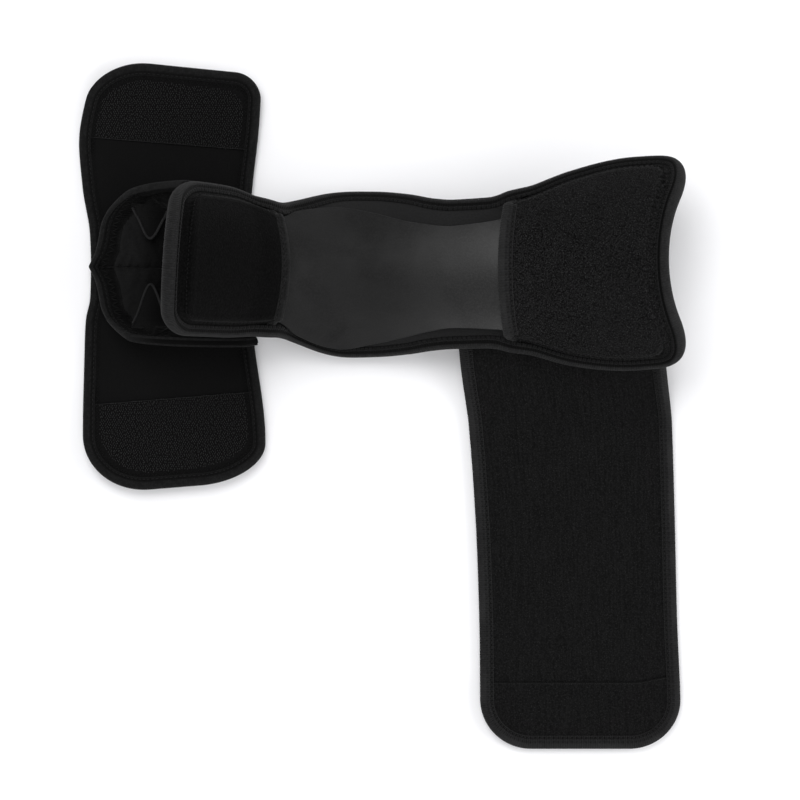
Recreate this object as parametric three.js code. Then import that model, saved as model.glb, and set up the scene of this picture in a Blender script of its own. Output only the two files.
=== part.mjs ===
// A dorsal plantar fasciitis night splint lying open on a table, in millimetres, +Z up.
// A rigid bent shell sits in pockets on a padded liner that covers the shin and the top of the foot.
// A sling under the sole, a foot wrap with two hook ends and a long calf strap hold it to the leg.
import * as THREE from "three";

// Bent spine of the shell: the crown line, seen from the side
const BEND_RADIUS = 70;
const FOOT_RISE = THREE.MathUtils.degToRad(45);
const SHIN_RISE = THREE.MathUtils.degToRad(10);
const LOW_POINT_X = -28.4;
const LOW_POINT_Z = 37;
const SPINE_Y = 79;

// Runs along the crown line, measured from its lowest point
const TOE_END = -133.5;
const TOE_SAG = 17;
const TOE_SLANT = 4;
const TOE_CORNER = { from: 0.7, length: 14 };
const CALF_END = 190.4;
const CALF_SCOOP = 23;
const CALF_CORNER = { from: 0.53, length: 31 };
const TOE_MOUTH = -46;
const CALF_MOUTH = 90.8;
const CALF_MOUTH_BOW = 4;

// Wall thicknesses, the gap at every tape, and the gap between broad curved layers
const GAP = 0.3;
const LAYER_GAP = 0.6;
const LINER_WALL = 5;
const SHELL_WALL = 2.5;
const POCKET_WALL = 1.5;
const TAPE_WALL = 0.9;
const TAPE_LAP = 5.5;
const WRAP_WALL = 3;
const STRAP_WALL = 3;
const SLING_WALL = 3;
const HOOK_WALL = 1.2;
const TAB_WALL = 1.2;
const SHELL_INSET = 15;
const SHELL_CORNER = { from: 0.72, length: 17 };

// Stations of the trough. run: place on the crown line. radius: of the trough. liner, shell: half widths
// along the arc. lean: sideways drift of the liner. shift: sideways drift of the shell on the liner.
const STATIONS = [
  { run: -137, radius: 60, liner: 49.6, shell: 32.5, lean: 5.0, shift: 0.0 },
  { run: -75, radius: 60, liner: 49.5, shell: 33.0, lean: 4.2, shift: 0.0 },
  { run: -44, radius: 60, liner: 43.8, shell: 32.4, lean: 0.9, shift: -0.8 },
  { run: -30, radius: 60.5, liner: 49.0, shell: 40.0, lean: 0.1, shift: -1.8 },
  { run: -8, radius: 61.5, liner: 60.5, shell: 46.3, lean: -0.6, shift: -4.3 },
  { run: 10, radius: 61.3, liner: 61.3, shell: 42.2, lean: -0.5, shift: -4.4 },
  { run: 30, radius: 61, liner: 58.2, shell: 36.6, lean: -0.8, shift: -4.6 },
  { run: 45, radius: 61.5, liner: 53.9, shell: 33.2, lean: -1.3, shift: -3.5 },
  { run: 60, radius: 62, liner: 52.0, shell: 31.3, lean: -1.4, shift: -2.9 },
  { run: 98, radius: 68, liner: 53.5, shell: 35.2, lean: -0.1, shift: -2.4 },
  { run: 130, radius: 76, liner: 66.0, shell: 43.0, lean: 1.7, shift: 0.0 },
  { run: 160, radius: 80, liner: 73.0, shell: 49.0, lean: 3.9, shift: 0.0 },
  { run: 192, radius: 80, liner: 73.0, shell: 50.0, lean: 5.7, shift: 0.0 },
];

// Foot wrap on the table. run: towards the bottom of the plan from the wrap's middle. left, right: edges.
const WRAP_Y = 79;
const WRAP_ROWS = [
  { run: -134, left: -189, right: -87 },
  { run: -90, left: -200, right: -90 },
  { run: -55, left: -198.4, right: -94 },
  { run: -26, left: -193.8, right: -96 },
  { run: 15, left: -193.6, right: -96.4 },
  { run: 28, left: -196.2, right: -95 },
  { run: 50, left: -197.2, right: -92 },
  { run: 95, left: -198, right: -86 },
  { run: 134, left: -197, right: -86 },
];
const WRAP_ENDS = {
  upper: { run: -129, slant: 5, left: { from: 0.35, length: 24 }, right: { from: 0.7, length: 15 } },
  lower: { run: 133, slant: -4.5, left: { from: 0.27, length: 36 }, right: { from: 0.3, length: 22 } },
};
const WRAP_FLAT_RUN = 70;
const WRAP_CURL_RUN = 72;
const WRAP_CURL = 7;
const HOOK_LINE = { upper: -82, lower: 78, slant: 4 };

// Calf strap: sewn inside the liner's lower edge, then down to the table and away.
const STRAP_ROWS = [
  { run: 0, left: 37.5, right: 167 },
  { run: 45, left: 43.5, right: 169.5 },
  { run: 110, left: 48.5, right: 171.5 },
  { run: 175, left: 51, right: 173 },
  { run: 225, left: 51.5, right: 175 },
  { run: 265, left: 51.5, right: 175 },
];
const STRAP_SEAM_FROM = 62;
const STRAP_SEAM_TO = 187;
const STRAP_SEAM_INSET = 9;
const STRAP_LANDING_Y = -14;
const STRAP_DROP_RUN = 52;
const STRAP_END = 256;
const STRAP_CORNER = { from: 0.5, length: 30 };
const STRAP_PATCH_RUN = 216;
const STRAP_PULL = 42;

// Sling under the sole: a U-shaped loop whose front rim comes to a point on its middle seam
const SLING = {
  frontY: 83.5,
  heelY: 82,
  floor: 9.4,
  tip: -194,
  nose: 43,
  sideFrom: 0.7,
  heelFloor: -100,
  frontWidth: 47.4,
  frontHeight: 37,
  heelHeight: 34.8,
  square: 0.77,
  pinch: 4,
  puff: 1.6,
  upper: { rimTop: -136, heelTop: -113, heelWidth: 41.5 },
  lower: { rimTop: -96, heelTop: -87, heelWidth: 44.5 },
};
const SLING_SEAM = 0.0006;
const TAB = { x: -155, half: 11, base: 0.57, reach: { upper: 0.2, lower: 0.11 }, curl: 6 };

// Colours of the finishes
const COLOURS = {
  plastic: { color: 0x2b2b2c, roughness: 0.42 },
  foam: { color: 0x19191a, roughness: 0.9 },
  loop: { color: 0x121213, roughness: 0.95 },
  tape: { color: 0x262627, roughness: 0.8 },
  hook: { color: 0x141415, roughness: 0.7 },
  lining: { color: 0x161617, roughness: 0.9 },
};

const mix = THREE.MathUtils.lerp;
const smooth = THREE.MathUtils.smoothstep;

// A smooth curve through one column of a table, by its run.
function column(rows, key) {
  const slope = (i) => {
    const a = rows[Math.max(i - 1, 0)];
    const b = rows[Math.min(i + 1, rows.length - 1)];
    return (b[key] - a[key]) / (b.run - a.run);
  };
  return (run) => {
    const x = THREE.MathUtils.clamp(run, rows[0].run, rows.at(-1).run);
    const i = Math.min(rows.findLastIndex((row) => row.run <= x), rows.length - 2);
    const span = rows[i + 1].run - rows[i].run;
    const h = (x - rows[i].run) / span;
    const h2 = h * h;
    const h3 = h2 * h;
    return (
      rows[i][key] * (2 * h3 - 3 * h2 + 1) +
      rows[i + 1][key] * (3 * h2 - 2 * h3) +
      span * (slope(i) * (h3 - 2 * h2 + h) + slope(i + 1) * (h3 - h2))
    );
  };
}

// How far a rounded corner draws an end back at the width share v: a quarter ellipse past corner.from.
function cornerDraw(v, corner) {
  const w = Math.max(0, (Math.abs(v) - corner.from) / (1 - corner.from));
  return corner.length * (1 - Math.sqrt(Math.max(0, 1 - w * w)));
}

// A sheet is a surface at(run, across) with a pattern piece on it: start and end runs by width share,
// a middle line and a half width by run. Its normal points away from the leg, or up.
function sheet(surface, pattern) {
  const step = 0.05;
  const slopes = (run, across) => {
    const { acrossStep = step } = pattern;
    const a = surface(run + step, across).sub(surface(run - step, across)).divideScalar(2 * step);
    const b = surface(run, across + acrossStep).sub(surface(run, across - acrossStep));
    return [a, b.divideScalar(2 * acrossStep)];
  };
  const at = (run, across, lift) => {
    const [a, b] = slopes(run, across);
    return surface(run, across).addScaledVector(a.cross(b).normalize(), lift);
  };
  const spread = pattern.spread ?? ((v, run) => v * pattern.half(run));
  const place = (u, v) => {
    const run = mix(pattern.start(v), pattern.end(v), u);
    return [run, pattern.middle(run) + spread(v, run)];
  };
  return { slopes, at, place };
}

// Turns faces outwards when the enclosed volume comes out negative.
function closedGeometry(points, faces) {
  const volume = faces.reduce((sum, [a, b, c]) => {
    const cross = new THREE.Vector3().crossVectors(points[b], points[c]);
    return sum + points[a].dot(cross);
  }, 0);
  const index = faces.flatMap(([a, b, c]) => (volume < 0 ? [a, c, b] : [a, b, c]));
  const geometry = new THREE.BufferGeometry().setFromPoints(points);
  geometry.setIndex(index);
  geometry.computeVertexNormals();
  return geometry;
}

// A wall of cloth, foam or plastic on a sheet, between two lifts, on a grid of shares us by vs.
function wall(on, us, vs, lower, upper) {
  const points = [];
  for (const lift of [lower, upper]) {
    for (const u of us) {
      for (const v of vs) {
        const [run, across] = on.place(u, v);
        points.push(on.at(run, across, typeof lift === "function" ? lift(run, across) : lift));
      }
    }
  }
  const rows = us.length;
  const cols = vs.length;
  const id = (side, i, j) => side * rows * cols + i * cols + j;
  const faces = [];
  const quad = (a, b, c, d) => faces.push([a, b, c], [a, c, d]);
  for (let i = 0; i + 1 < rows; i++) {
    for (let j = 0; j + 1 < cols; j++) {
      quad(id(1, i, j), id(1, i + 1, j), id(1, i + 1, j + 1), id(1, i, j + 1));
      quad(id(0, i, j), id(0, i, j + 1), id(0, i + 1, j + 1), id(0, i + 1, j));
    }
  }
  for (let i = 0; i + 1 < rows; i++) {
    quad(id(0, i, 0), id(0, i + 1, 0), id(1, i + 1, 0), id(1, i, 0));
    quad(id(0, i, cols - 1), id(1, i, cols - 1), id(1, i + 1, cols - 1), id(0, i + 1, cols - 1));
  }
  for (let j = 0; j + 1 < cols; j++) {
    quad(id(0, 0, j), id(1, 0, j), id(1, 0, j + 1), id(0, 0, j + 1));
    quad(id(0, rows - 1, j), id(0, rows - 1, j + 1), id(1, rows - 1, j + 1), id(1, rows - 1, j));
  }
  return closedGeometry(points, faces);
}

// The C-shaped section of an edge tape round a wall, as [inward, lift] pairs.
function tapeSection(low, high) {
  const lap = TAPE_LAP;
  const out = GAP + TAPE_WALL;
  return [
    [lap, high + out],
    [-out, high + out],
    [-out, low - out],
    [lap, low - out],
    [lap, low - GAP],
    [-GAP, low - GAP],
    [-GAP, high + GAP],
    [lap, high + GAP],
  ];
}

// An edge tape: the section that section(u, v) gives, carried along an outline of [u, v] shares on a sheet.
// The outline runs with the panel on its left, seen from the outer side.
function tape(on, outline, closed, section) {
  const count = outline.length;
  const places = outline.map(([u, v]) => on.place(u, v));
  const spots = places.map(([run, across]) => on.at(run, across, 0));
  const points = [];
  let corners = 0;
  outline.forEach(([u, v], i) => {
    const [run, across] = places[i];
    const [a, b] = on.slopes(run, across);
    const normal = new THREE.Vector3().crossVectors(a, b).normalize();
    const before = spots[closed ? (i + count - 1) % count : Math.max(i - 1, 0)];
    const after = spots[closed ? (i + 1) % count : Math.min(i + 1, count - 1)];
    const along = after.clone().sub(before);
    const inward = new THREE.Vector3().crossVectors(normal, along).normalize();
    const runStep = inward.dot(a) / a.lengthSq();
    const acrossStep = inward.dot(b) / b.lengthSq();
    const profile = section(u, v);
    corners = profile.length;
    for (const [inset, lift] of profile) {
      points.push(on.at(run + inset * runStep, across + inset * acrossStep, lift));
    }
  });
  const faces = [];
  const rings = closed ? count : count - 1;
  for (let i = 0; i < rings; i++) {
    const next = ((i + 1) % count) * corners;
    for (let j = 0; j < corners; j++) {
      const k = (j + 1) % corners;
      const here = i * corners;
      faces.push([here + j, next + j, next + k], [here + j, next + k, here + k]);
    }
  }
  if (!closed) {
    const flat = section(...outline[0]).map(([x, y]) => new THREE.Vector2(x, y));
    const turn = THREE.ShapeUtils.isClockWise(flat) ? -1 : 1;
    for (const [a, b, c] of THREE.ShapeUtils.triangulateShape(flat, [])) {
      const last = (count - 1) * corners;
      const first = turn > 0 ? [a, b, c] : [a, c, b];
      faces.push(first, [last + first[0], last + first[2], last + first[1]]);
    }
  }
  return closedGeometry(points, faces);
}

// Even shares from a to b, and shares that crowd towards -1 and 1, where corners are.
const even = (a, b, n) => Array.from({ length: n + 1 }, (_, i) => mix(a, b, i / n));
const crowded = (n) => even(-1, 1, n).map((x) => (x + Math.sin((x * Math.PI) / 2)) / 2);

// Even shares between two rounded corners, and three more on each corner.
function cornered(from, steps) {
  const corner = [0.5, 0.87, 1].map((k) => mix(from, 1, k));
  return [...corner.map((v) => -v).toReversed(), ...even(-from, from, steps), ...corner];
}

// Closed outline of a pattern piece, panel on the left.
function outlineOf(sides, across) {
  return [
    ...even(0, 1, sides).slice(0, -1).map((u) => [u, -1]),
    ...across.slice(0, -1).map((v) => [1, v]),
    ...even(1, 0, sides).slice(0, -1).map((u) => [u, 1]),
    ...across.toReversed().slice(0, -1).map((v) => [0, v]),
  ];
}

// Crown line: a straight foot stretch, a round bend and a straight shin stretch.
function spine(run) {
  const turn = THREE.MathUtils.clamp(run / BEND_RADIUS, -FOOT_RISE, SHIN_RISE);
  const past = run - turn * BEND_RADIUS;
  return {
    x: LOW_POINT_X + BEND_RADIUS * Math.sin(turn) + past * Math.cos(turn),
    z: LOW_POINT_Z + BEND_RADIUS * (1 - Math.cos(turn)) + past * Math.sin(turn),
    turn,
  };
}

const radiusAt = column(STATIONS, "radius");
const linerHalf = column(STATIONS, "liner");
const shellHalf = column(STATIONS, "shell");
const leanAt = column(STATIONS, "lean");
const shiftAt = column(STATIONS, "shift");

// Outer face of the liner: an arc across the leg, carried along the crown line.
function trough(run, across) {
  const { x, z, turn } = spine(run);
  const radius = radiusAt(run);
  const angle = across / radius;
  const drop = radius * (1 - Math.cos(angle));
  return new THREE.Vector3(
    x + drop * Math.sin(turn),
    SPINE_Y + leanAt(run) + radius * Math.sin(angle),
    z - drop * Math.cos(turn),
  );
}

const toeEdge = (v) => TOE_END + TOE_SLANT * v + TOE_SAG * v * v + cornerDraw(v, TOE_CORNER);
const calfEdge = (v) => CALF_END + CALF_SCOOP * v * v - cornerDraw(v, CALF_CORNER);
const noDrift = () => 0;
const calfMouth = (v) => CALF_MOUTH + CALF_MOUTH_BOW * v * v;

const linerSheet = sheet(trough, { start: toeEdge, end: calfEdge, middle: noDrift, half: linerHalf });

const SHELL_SHARE = 0.66;
const shellSheet = sheet(trough, {
  start: (v) => toeEdge(v * SHELL_SHARE) + SHELL_INSET + cornerDraw(v, TOE_CORNER),
  end: (v) => calfEdge(v * SHELL_SHARE) - SHELL_INSET - cornerDraw(v, SHELL_CORNER),
  middle: shiftAt,
  half: shellHalf,
});

// Pocket: flat on the liner under the edge tape, raised over the shell inside it.
const POCKET_OVER_SHELL = LAYER_GAP + SHELL_WALL + 2 * LAYER_GAP + TAPE_WALL + GAP;
const POCKET_EDGE = { flat: 6.4, full: 10, round: 18, end: 3.4 };
const POCKET_SHARE = { full: 0.8, flat: 0.88 };
const POCKET_TUCK = 1.6;
const POCKET_ACROSS = [-1, -0.88, ...even(-0.8, 0.8, 10), 0.88, 1];

// Widths of a pocket's rows: close rows where it comes down to the liner, at set distances from the edge.
function pocketSpread(v, run) {
  const half = linerHalf(run);
  const foot = half - POCKET_EDGE.flat;
  const knee = half - POCKET_EDGE.full;
  const { full, flat } = POCKET_SHARE;
  const away = Math.abs(v);
  if (away <= full) {
    return (v / full) * knee;
  }
  const edge = mix(foot, half - POCKET_TUCK / 2, (away - flat) / (1 - flat));
  const slope = mix(knee, foot, (away - full) / (flat - full));
  return Math.sign(v) * (away <= flat ? slope : edge);
}
const pocketShare = (v, run) => pocketSpread(v, run) / linerHalf(run);

function pocketLift(run, across, fromEnd) {
  const { flat, full, round, end } = POCKET_EDGE;
  const fromSide = linerHalf(run) - Math.abs(across);
  const inset = round - Math.hypot(Math.max(0, round - fromSide), Math.max(0, round + end - fromEnd));
  return LAYER_GAP + (POCKET_OVER_SHELL - LAYER_GAP) * smooth(inset, flat, full);
}
const toePocketLift = (run, across) => pocketLift(run, across, run - toeEdge(across / linerHalf(run)));
const calfPocketLift = (run, across) => pocketLift(run, across, calfEdge(across / linerHalf(run)) - run);
const raised = (lift, by) => (run, across) => lift(run, across) + by;

const toePocketSheet = sheet(trough, {
  start: (v) => toeEdge(pocketShare(v, TOE_END)) + POCKET_TUCK,
  end: () => TOE_MOUTH,
  middle: noDrift,
  spread: pocketSpread,
});
const calfPocketSheet = sheet(trough, {
  start: calfMouth,
  end: (v) => calfEdge(pocketShare(v, CALF_END)) - POCKET_TUCK,
  middle: noDrift,
  spread: pocketSpread,
});

// Shares along a pocket: close rows at its closed end, even rows to its mouth.
function pocketAlong(length, steps) {
  const { flat, full, end } = POCKET_EDGE;
  const near = [0, (flat + end - POCKET_TUCK - 1) / length, (full + end) / length];
  return [...near, ...even(near[2], 1, steps).slice(1)];
}
const toePocketAlong = pocketAlong(TOE_MOUTH - TOE_END, 7);
const calfPocketAlong = pocketAlong(CALF_END - CALF_MOUTH, 8)
  .map((u) => 1 - u)
  .toReversed();

// The edge tape of the liner stands higher where it also takes in a pocket.
function linerTapeSection(u, v) {
  const [run] = linerSheet.place(u, v);
  const toe = 1 - smooth(run, TOE_MOUTH + 12, TOE_MOUTH + 22);
  const calf = smooth(run, CALF_MOUTH - 22, CALF_MOUTH - 12);
  const extra = (LAYER_GAP + POCKET_WALL + GAP) * Math.max(toe, calf);
  return tapeSection(-LINER_WALL, extra);
}

// A pocket's mouth tape stops short of the liner's edge tape.
const MOUTH_ACROSS = POCKET_ACROSS.filter((v) => Math.abs(v) < 0.85);
function mouthTape(on, share, lift) {
  const outline = MOUTH_ACROSS.map((v) => [share, share === 1 ? v : -v]);
  return tape(on, outline, false, (u, v) => {
    const base = lift(...on.place(u, v));
    return tapeSection(base, base + POCKET_WALL);
  });
}

// Foot wrap: flat on the table in its middle, with ends that curl up.
const wrapLeft = column(WRAP_ROWS, "left");
const wrapRight = column(WRAP_ROWS, "right");
const WRAP_UNDERSIDE = TAPE_WALL + GAP;

function wrapSurface(run, across) {
  const past = Math.max(0, Math.abs(run) - WRAP_FLAT_RUN) / WRAP_CURL_RUN;
  return new THREE.Vector3(across, WRAP_Y - run, WRAP_UNDERSIDE + WRAP_CURL * past * past);
}
function wrapPattern(inset, startLine, endLine) {
  const draw = (v, end) => {
    const { from, length } = v < 0 ? end.left : end.right;
    return cornerDraw(v, { from, length: length - inset / 2 });
  };
  const { upper, lower } = WRAP_ENDS;
  return {
    start: startLine ?? ((v) => upper.run + inset + upper.slant * v + draw(v, upper)),
    end: endLine ?? ((v) => lower.run - inset + lower.slant * v - draw(v, lower)),
    middle: (run) => (wrapLeft(run) + wrapRight(run)) / 2,
    half: (run) => (wrapRight(run) - wrapLeft(run)) / 2 - inset,
  };
}
const wrapSheet = sheet(wrapSurface, wrapPattern(0));
const HOOK_INSET = TAPE_LAP + 2 * GAP;
const hookSheets = {
  upper: sheet(
    wrapSurface,
    wrapPattern(HOOK_INSET, undefined, (v) => HOOK_LINE.upper + HOOK_LINE.slant * v),
  ),
  lower: sheet(
    wrapSurface,
    wrapPattern(HOOK_INSET, (v) => HOOK_LINE.lower - HOOK_LINE.slant * v),
  ),
};

// Calf strap: a smooth fall from the seam inside the liner's lower edge to the table, then flat.
const strapLeft = column(STRAP_ROWS, "left");
const strapRight = column(STRAP_ROWS, "right");
const STRAP_UNDERSIDE = TAPE_WALL + GAP;
const STRAP_UNDER_LINER = LINER_WALL + 3 * GAP + 2 * TAPE_WALL + STRAP_WALL + 0.4;

function strapSurface(run, share) {
  const left = strapLeft(run);
  const x = mix(left, strapRight(run), (share + 1) / 2);
  if (run >= STRAP_DROP_RUN) {
    return new THREE.Vector3(x, STRAP_LANDING_Y - (run - STRAP_DROP_RUN), STRAP_UNDERSIDE);
  }
  const seamRun = mix(STRAP_SEAM_FROM, STRAP_SEAM_TO, (share + 1) / 2);
  const seamAcross = STRAP_SEAM_INSET - linerHalf(seamRun);
  const seam = linerSheet.at(seamRun, seamAcross, -STRAP_UNDER_LINER);
  const [, outward] = linerSheet.slopes(seamRun, seamAcross);
  const landing = new THREE.Vector3(x, STRAP_LANDING_Y, STRAP_UNDERSIDE);
  const h = run / STRAP_DROP_RUN;
  const h2 = h * h;
  const h3 = h2 * h;
  return new THREE.Vector3()
    .addScaledVector(seam, 2 * h3 - 3 * h2 + 1)
    .addScaledVector(landing, 3 * h2 - 2 * h3)
    .addScaledVector(outward.normalize(), -STRAP_PULL * (h3 - 2 * h2 + h))
    .addScaledVector(new THREE.Vector3(0, -1, 0), STRAP_DROP_RUN * (h3 - h2));
}
function strapPattern(start, inset) {
  const corner = { from: STRAP_CORNER.from, length: STRAP_CORNER.length - inset / 2 };
  return {
    start: () => start,
    end: (v) => STRAP_END - inset - cornerDraw(v, corner),
    middle: noDrift,
    half: (run) => 1 - (2 * inset) / (strapRight(run) - strapLeft(run)),
    acrossStep: 0.001,
  };
}
const strapSheet = sheet(strapSurface, strapPattern(0, 0));
const strapEndSheet = sheet(strapSurface, strapPattern(STRAP_PATCH_RUN, HOOK_INSET));

const slingSide = (across) => (across > 0 ? SLING.upper : SLING.lower);

// Front rim and heel edge of the sling. The rim is half an ellipse in plan, pinched at its seam, and then
// draws back up the side walls.
function slingEdges(across) {
  const away = Math.abs(across);
  const angle = (away * Math.PI) / 2;
  const { rimTop, heelTop } = slingSide(across);
  const side = Math.pow(Math.sin(angle), SLING.square);
  const level = Math.sign(Math.cos(angle)) * Math.sqrt(Math.max(0, 1 - side * side));
  const pinch = SLING.pinch * smooth(side, 0, 0.25) * (1 - smooth(side, 0.3, 0.75));
  const up = Math.max(0, away - SLING.sideFrom) / (1 - SLING.sideFrom);
  const back = (rimTop - SLING.tip - SLING.nose) * Math.pow(up, 1.6);
  const rim = SLING.tip + pinch + SLING.nose * (1 - level) + back;
  return [rim, mix(SLING.heelFloor, heelTop, away * away)];
}

// Sling: a rounded U across the foot. run goes from its front rim to its heel edge, as a share.
function slingSurface(run, across) {
  const angle = (across * Math.PI) / 2;
  const width = mix(SLING.frontWidth, slingSide(across).heelWidth, run);
  const height = mix(SLING.frontHeight, SLING.heelHeight, run);
  const away = Math.abs(across);
  const [rim, heel] = slingEdges(across);
  const side = Math.sign(across) * Math.pow(Math.abs(Math.sin(angle)), SLING.square);
  const rise = 1 - Math.pow(Math.max(0, Math.cos(angle)), SLING.square);
  const puff = SLING.puff * Math.sin(Math.min(1, away * 2.4) * Math.PI);
  return new THREE.Vector3(
    mix(rim, heel, run),
    mix(SLING.frontY, SLING.heelY, run) + width * side,
    SLING.floor + height * rise + puff,
  );
}
function slingHalf(side) {
  return sheet(slingSurface, {
    start: () => 0,
    end: () => 1,
    middle: () => (side * (1 + SLING_SEAM)) / 2,
    half: () => (side * (1 - SLING_SEAM)) / 2,
    acrossStep: 0.0005,
  });
}
const slingSheets = { upper: slingHalf(1), lower: slingHalf(-1) };

// Lining tab: a rounded tongue that leaves the sling's side wall and curls over its floor.
function tabSheet(side) {
  const length = TAB.base - (side > 0 ? TAB.reach.upper : TAB.reach.lower);
  return sheet(
    (run, across) => {
      const away = TAB.base - run * length;
      const [rim, heel] = slingEdges(side * away);
      const share = (TAB.x + side * across - rim) / (heel - rim);
      const on = slingSheets[side > 0 ? "upper" : "lower"];
      return on.at(share, side * away, 2 * GAP + TAB.curl * run * run);
    },
    {
      start: () => 0,
      end: (v) => 1 - cornerDraw(v, { from: 0.05, length: 0.75 }),
      middle: noDrift,
      half: () => TAB.half,
    },
  );
}

const splint = new THREE.Group();

function add(name, finish, geometry) {
  const mesh = new THREE.Mesh(geometry, new THREE.MeshStandardMaterial(COLOURS[finish]));
  mesh.name = name;
  splint.add(mesh);
}

const linerAcross = cornered(0.74, 8);
add("liner", "foam", wall(linerSheet, even(0, 1, 32), linerAcross, -LINER_WALL, 0));
add("shell", "plastic", wall(shellSheet, even(0, 1, 28), crowded(12), LAYER_GAP, LAYER_GAP + SHELL_WALL));
add("liner_binding", "tape", tape(linerSheet, outlineOf(32, linerAcross), true, linerTapeSection));

add(
  "toe_pocket",
  "loop",
  wall(toePocketSheet, toePocketAlong, POCKET_ACROSS, toePocketLift, raised(toePocketLift, POCKET_WALL)),
);
add(
  "calf_pocket",
  "loop",
  wall(calfPocketSheet, calfPocketAlong, POCKET_ACROSS, calfPocketLift, raised(calfPocketLift, POCKET_WALL)),
);
add("toe_pocket_tape", "tape", mouthTape(toePocketSheet, 1, toePocketLift));
add("calf_pocket_tape", "tape", mouthTape(calfPocketSheet, 0, calfPocketLift));

const slingAlong = [0, 0.04, 0.08, ...even(0.2, 1, 4)];
for (const [name, on] of Object.entries(slingSheets)) {
  const side = name === "upper" ? 1 : -1;
  add(`sling_${name}`, "lining", wall(on, slingAlong, crowded(14), -SLING_WALL, 0));
  const rimAway = crowded(14).filter((v) => Math.abs(v) < 0.95);
  const rim = (side > 0 ? rimAway.toReversed() : rimAway).map((v) => [0, v]);
  add(`sling_${name}_binding`, "tape", tape(on, rim, false, () => tapeSection(-SLING_WALL, 0)));
  add(`lining_tab_${name}`, "lining", wall(tabSheet(side), even(0, 1, 6), crowded(6), 0, TAB_WALL));
}

const wrapAcross = cornered(0.35, 4);
add("foot_wrap", "foam", wall(wrapSheet, even(0, 1, 16), wrapAcross, 0, WRAP_WALL));
add(
  "foot_wrap_binding",
  "tape",
  tape(wrapSheet, outlineOf(16, wrapAcross), true, () => tapeSection(0, WRAP_WALL)),
);
for (const [name, on] of Object.entries(hookSheets)) {
  const low = WRAP_WALL + GAP;
  add(`hook_patch_${name}`, "hook", wall(on, even(0, 1, 5), crowded(8), low, low + HOOK_WALL));
}

const strapAlong = [...even(0, 0.24, 9), ...even(0.24, 1, 7).slice(1)];
const strapBound = strapAlong.filter((u) => u > 0.06);
const strapAcross = cornered(0.5, 4);
add("calf_strap", "loop", wall(strapSheet, strapAlong, strapAcross, 0, STRAP_WALL));
const strapEdge = [
  ...strapBound.slice(0, -1).map((u) => [u, -1]),
  ...strapAcross.slice(0, -1).map((v) => [1, v]),
  ...strapBound.toReversed().map((u) => [u, 1]),
];
add("strap_binding", "tape", tape(strapSheet, strapEdge, false, () => tapeSection(0, STRAP_WALL)));
add(
  "strap_end_panel",
  "loop",
  wall(strapEndSheet, even(0, 1, 4), crowded(8), STRAP_WALL + GAP, STRAP_WALL + GAP + HOOK_WALL),
);

// The origin is the middle of the part's box, on the table.
const box = new THREE.Box3().setFromObject(splint);
const middle = box.getCenter(new THREE.Vector3());
splint.position.set(-middle.x, -middle.y, -box.min.z);

export default splint;
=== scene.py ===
import math

import bpy
import numpy as np
from bpy.props import FloatProperty, FloatVectorProperty, IntProperty, PointerProperty
from bpy.types import Operator, Panel, PropertyGroup
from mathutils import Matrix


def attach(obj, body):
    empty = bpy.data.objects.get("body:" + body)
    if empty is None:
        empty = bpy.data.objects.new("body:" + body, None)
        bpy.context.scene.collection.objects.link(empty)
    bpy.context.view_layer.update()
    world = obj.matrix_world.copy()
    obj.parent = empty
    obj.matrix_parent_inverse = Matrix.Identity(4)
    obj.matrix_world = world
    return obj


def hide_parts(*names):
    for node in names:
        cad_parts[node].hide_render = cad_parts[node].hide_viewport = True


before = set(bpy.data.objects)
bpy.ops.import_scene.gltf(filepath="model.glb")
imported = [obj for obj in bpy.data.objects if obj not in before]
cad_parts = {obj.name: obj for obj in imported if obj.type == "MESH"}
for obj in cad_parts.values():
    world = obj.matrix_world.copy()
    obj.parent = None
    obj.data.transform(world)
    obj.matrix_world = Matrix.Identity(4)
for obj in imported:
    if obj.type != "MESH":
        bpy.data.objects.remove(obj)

bl_info = {
    "name": "Night splint",
    "version": (1, 0, 0),
    "blender": (4, 5, 0),
    "location": "3D View > Sidebar > Splint",
    "description": "Dresses a night splint with its shell, padding, cloth, tapes and stitches",
    "category": "Add Mesh",
}

# Lengths are in millimetres on the plan. A mesh is moved into the part's frame, in metres, when it is made.
MM = 0.001
PLAN_TO_PART = np.array((12.720207, 4.034157, 0.0))
BODY = "root"
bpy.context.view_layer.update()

# Crown line of the shell, seen from the side, and its place across the plan
BEND_RADIUS = 70.0
FOOT_RISE = math.radians(45)
SHIN_RISE = math.radians(10)
LOW_POINT = (-28.4, 37.0)
SPINE_Y = 79.0

# Ends of the liner, by run along the crown line. A corner is the width share where it begins, and its length.
TOE_END = -133.5
TOE_SAG = 17.0
TOE_SLANT = 4.0
TOE_CORNER = (0.7, 14.0)
CALF_END = 190.4
CALF_SCOOP = 23.0
CALF_CORNER = (0.53, 31.0)

# Mouths of the two pockets, by run. The calf pocket's mouth is bowed, so its two sides lie further on.
TOE_MOUTH = -46.0
CALF_MOUTH = 90.8
CALF_MOUTH_BOW = 4.0
CALF_MOUTH_SIDE = CALF_MOUTH + CALF_MOUTH_BOW

# Gaps, walls, how far walls end inside edge tapes or patches under them, and the bulge of a soft rim
GAP = 0.3
LAYER_GAP = 0.6
LINER_WALL = 5.0
SHELL_WALL = 2.5
POCKET_WALL = 1.5
PANEL_WALL = 3.0
TAPE_WALL = 0.9
LINER_TUCK = 1.4
PANEL_TUCK = 1.2
PATCH_TUCK = 1.6
SOFT_RIM = 0.6

# Shell: distance from the liner's ends, share of the width by which it follows their curve, and calf corner
SHELL_INSET = 15.0
SHELL_SHARE = 0.66
SHELL_CORNER = (0.72, 17.0)

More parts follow.
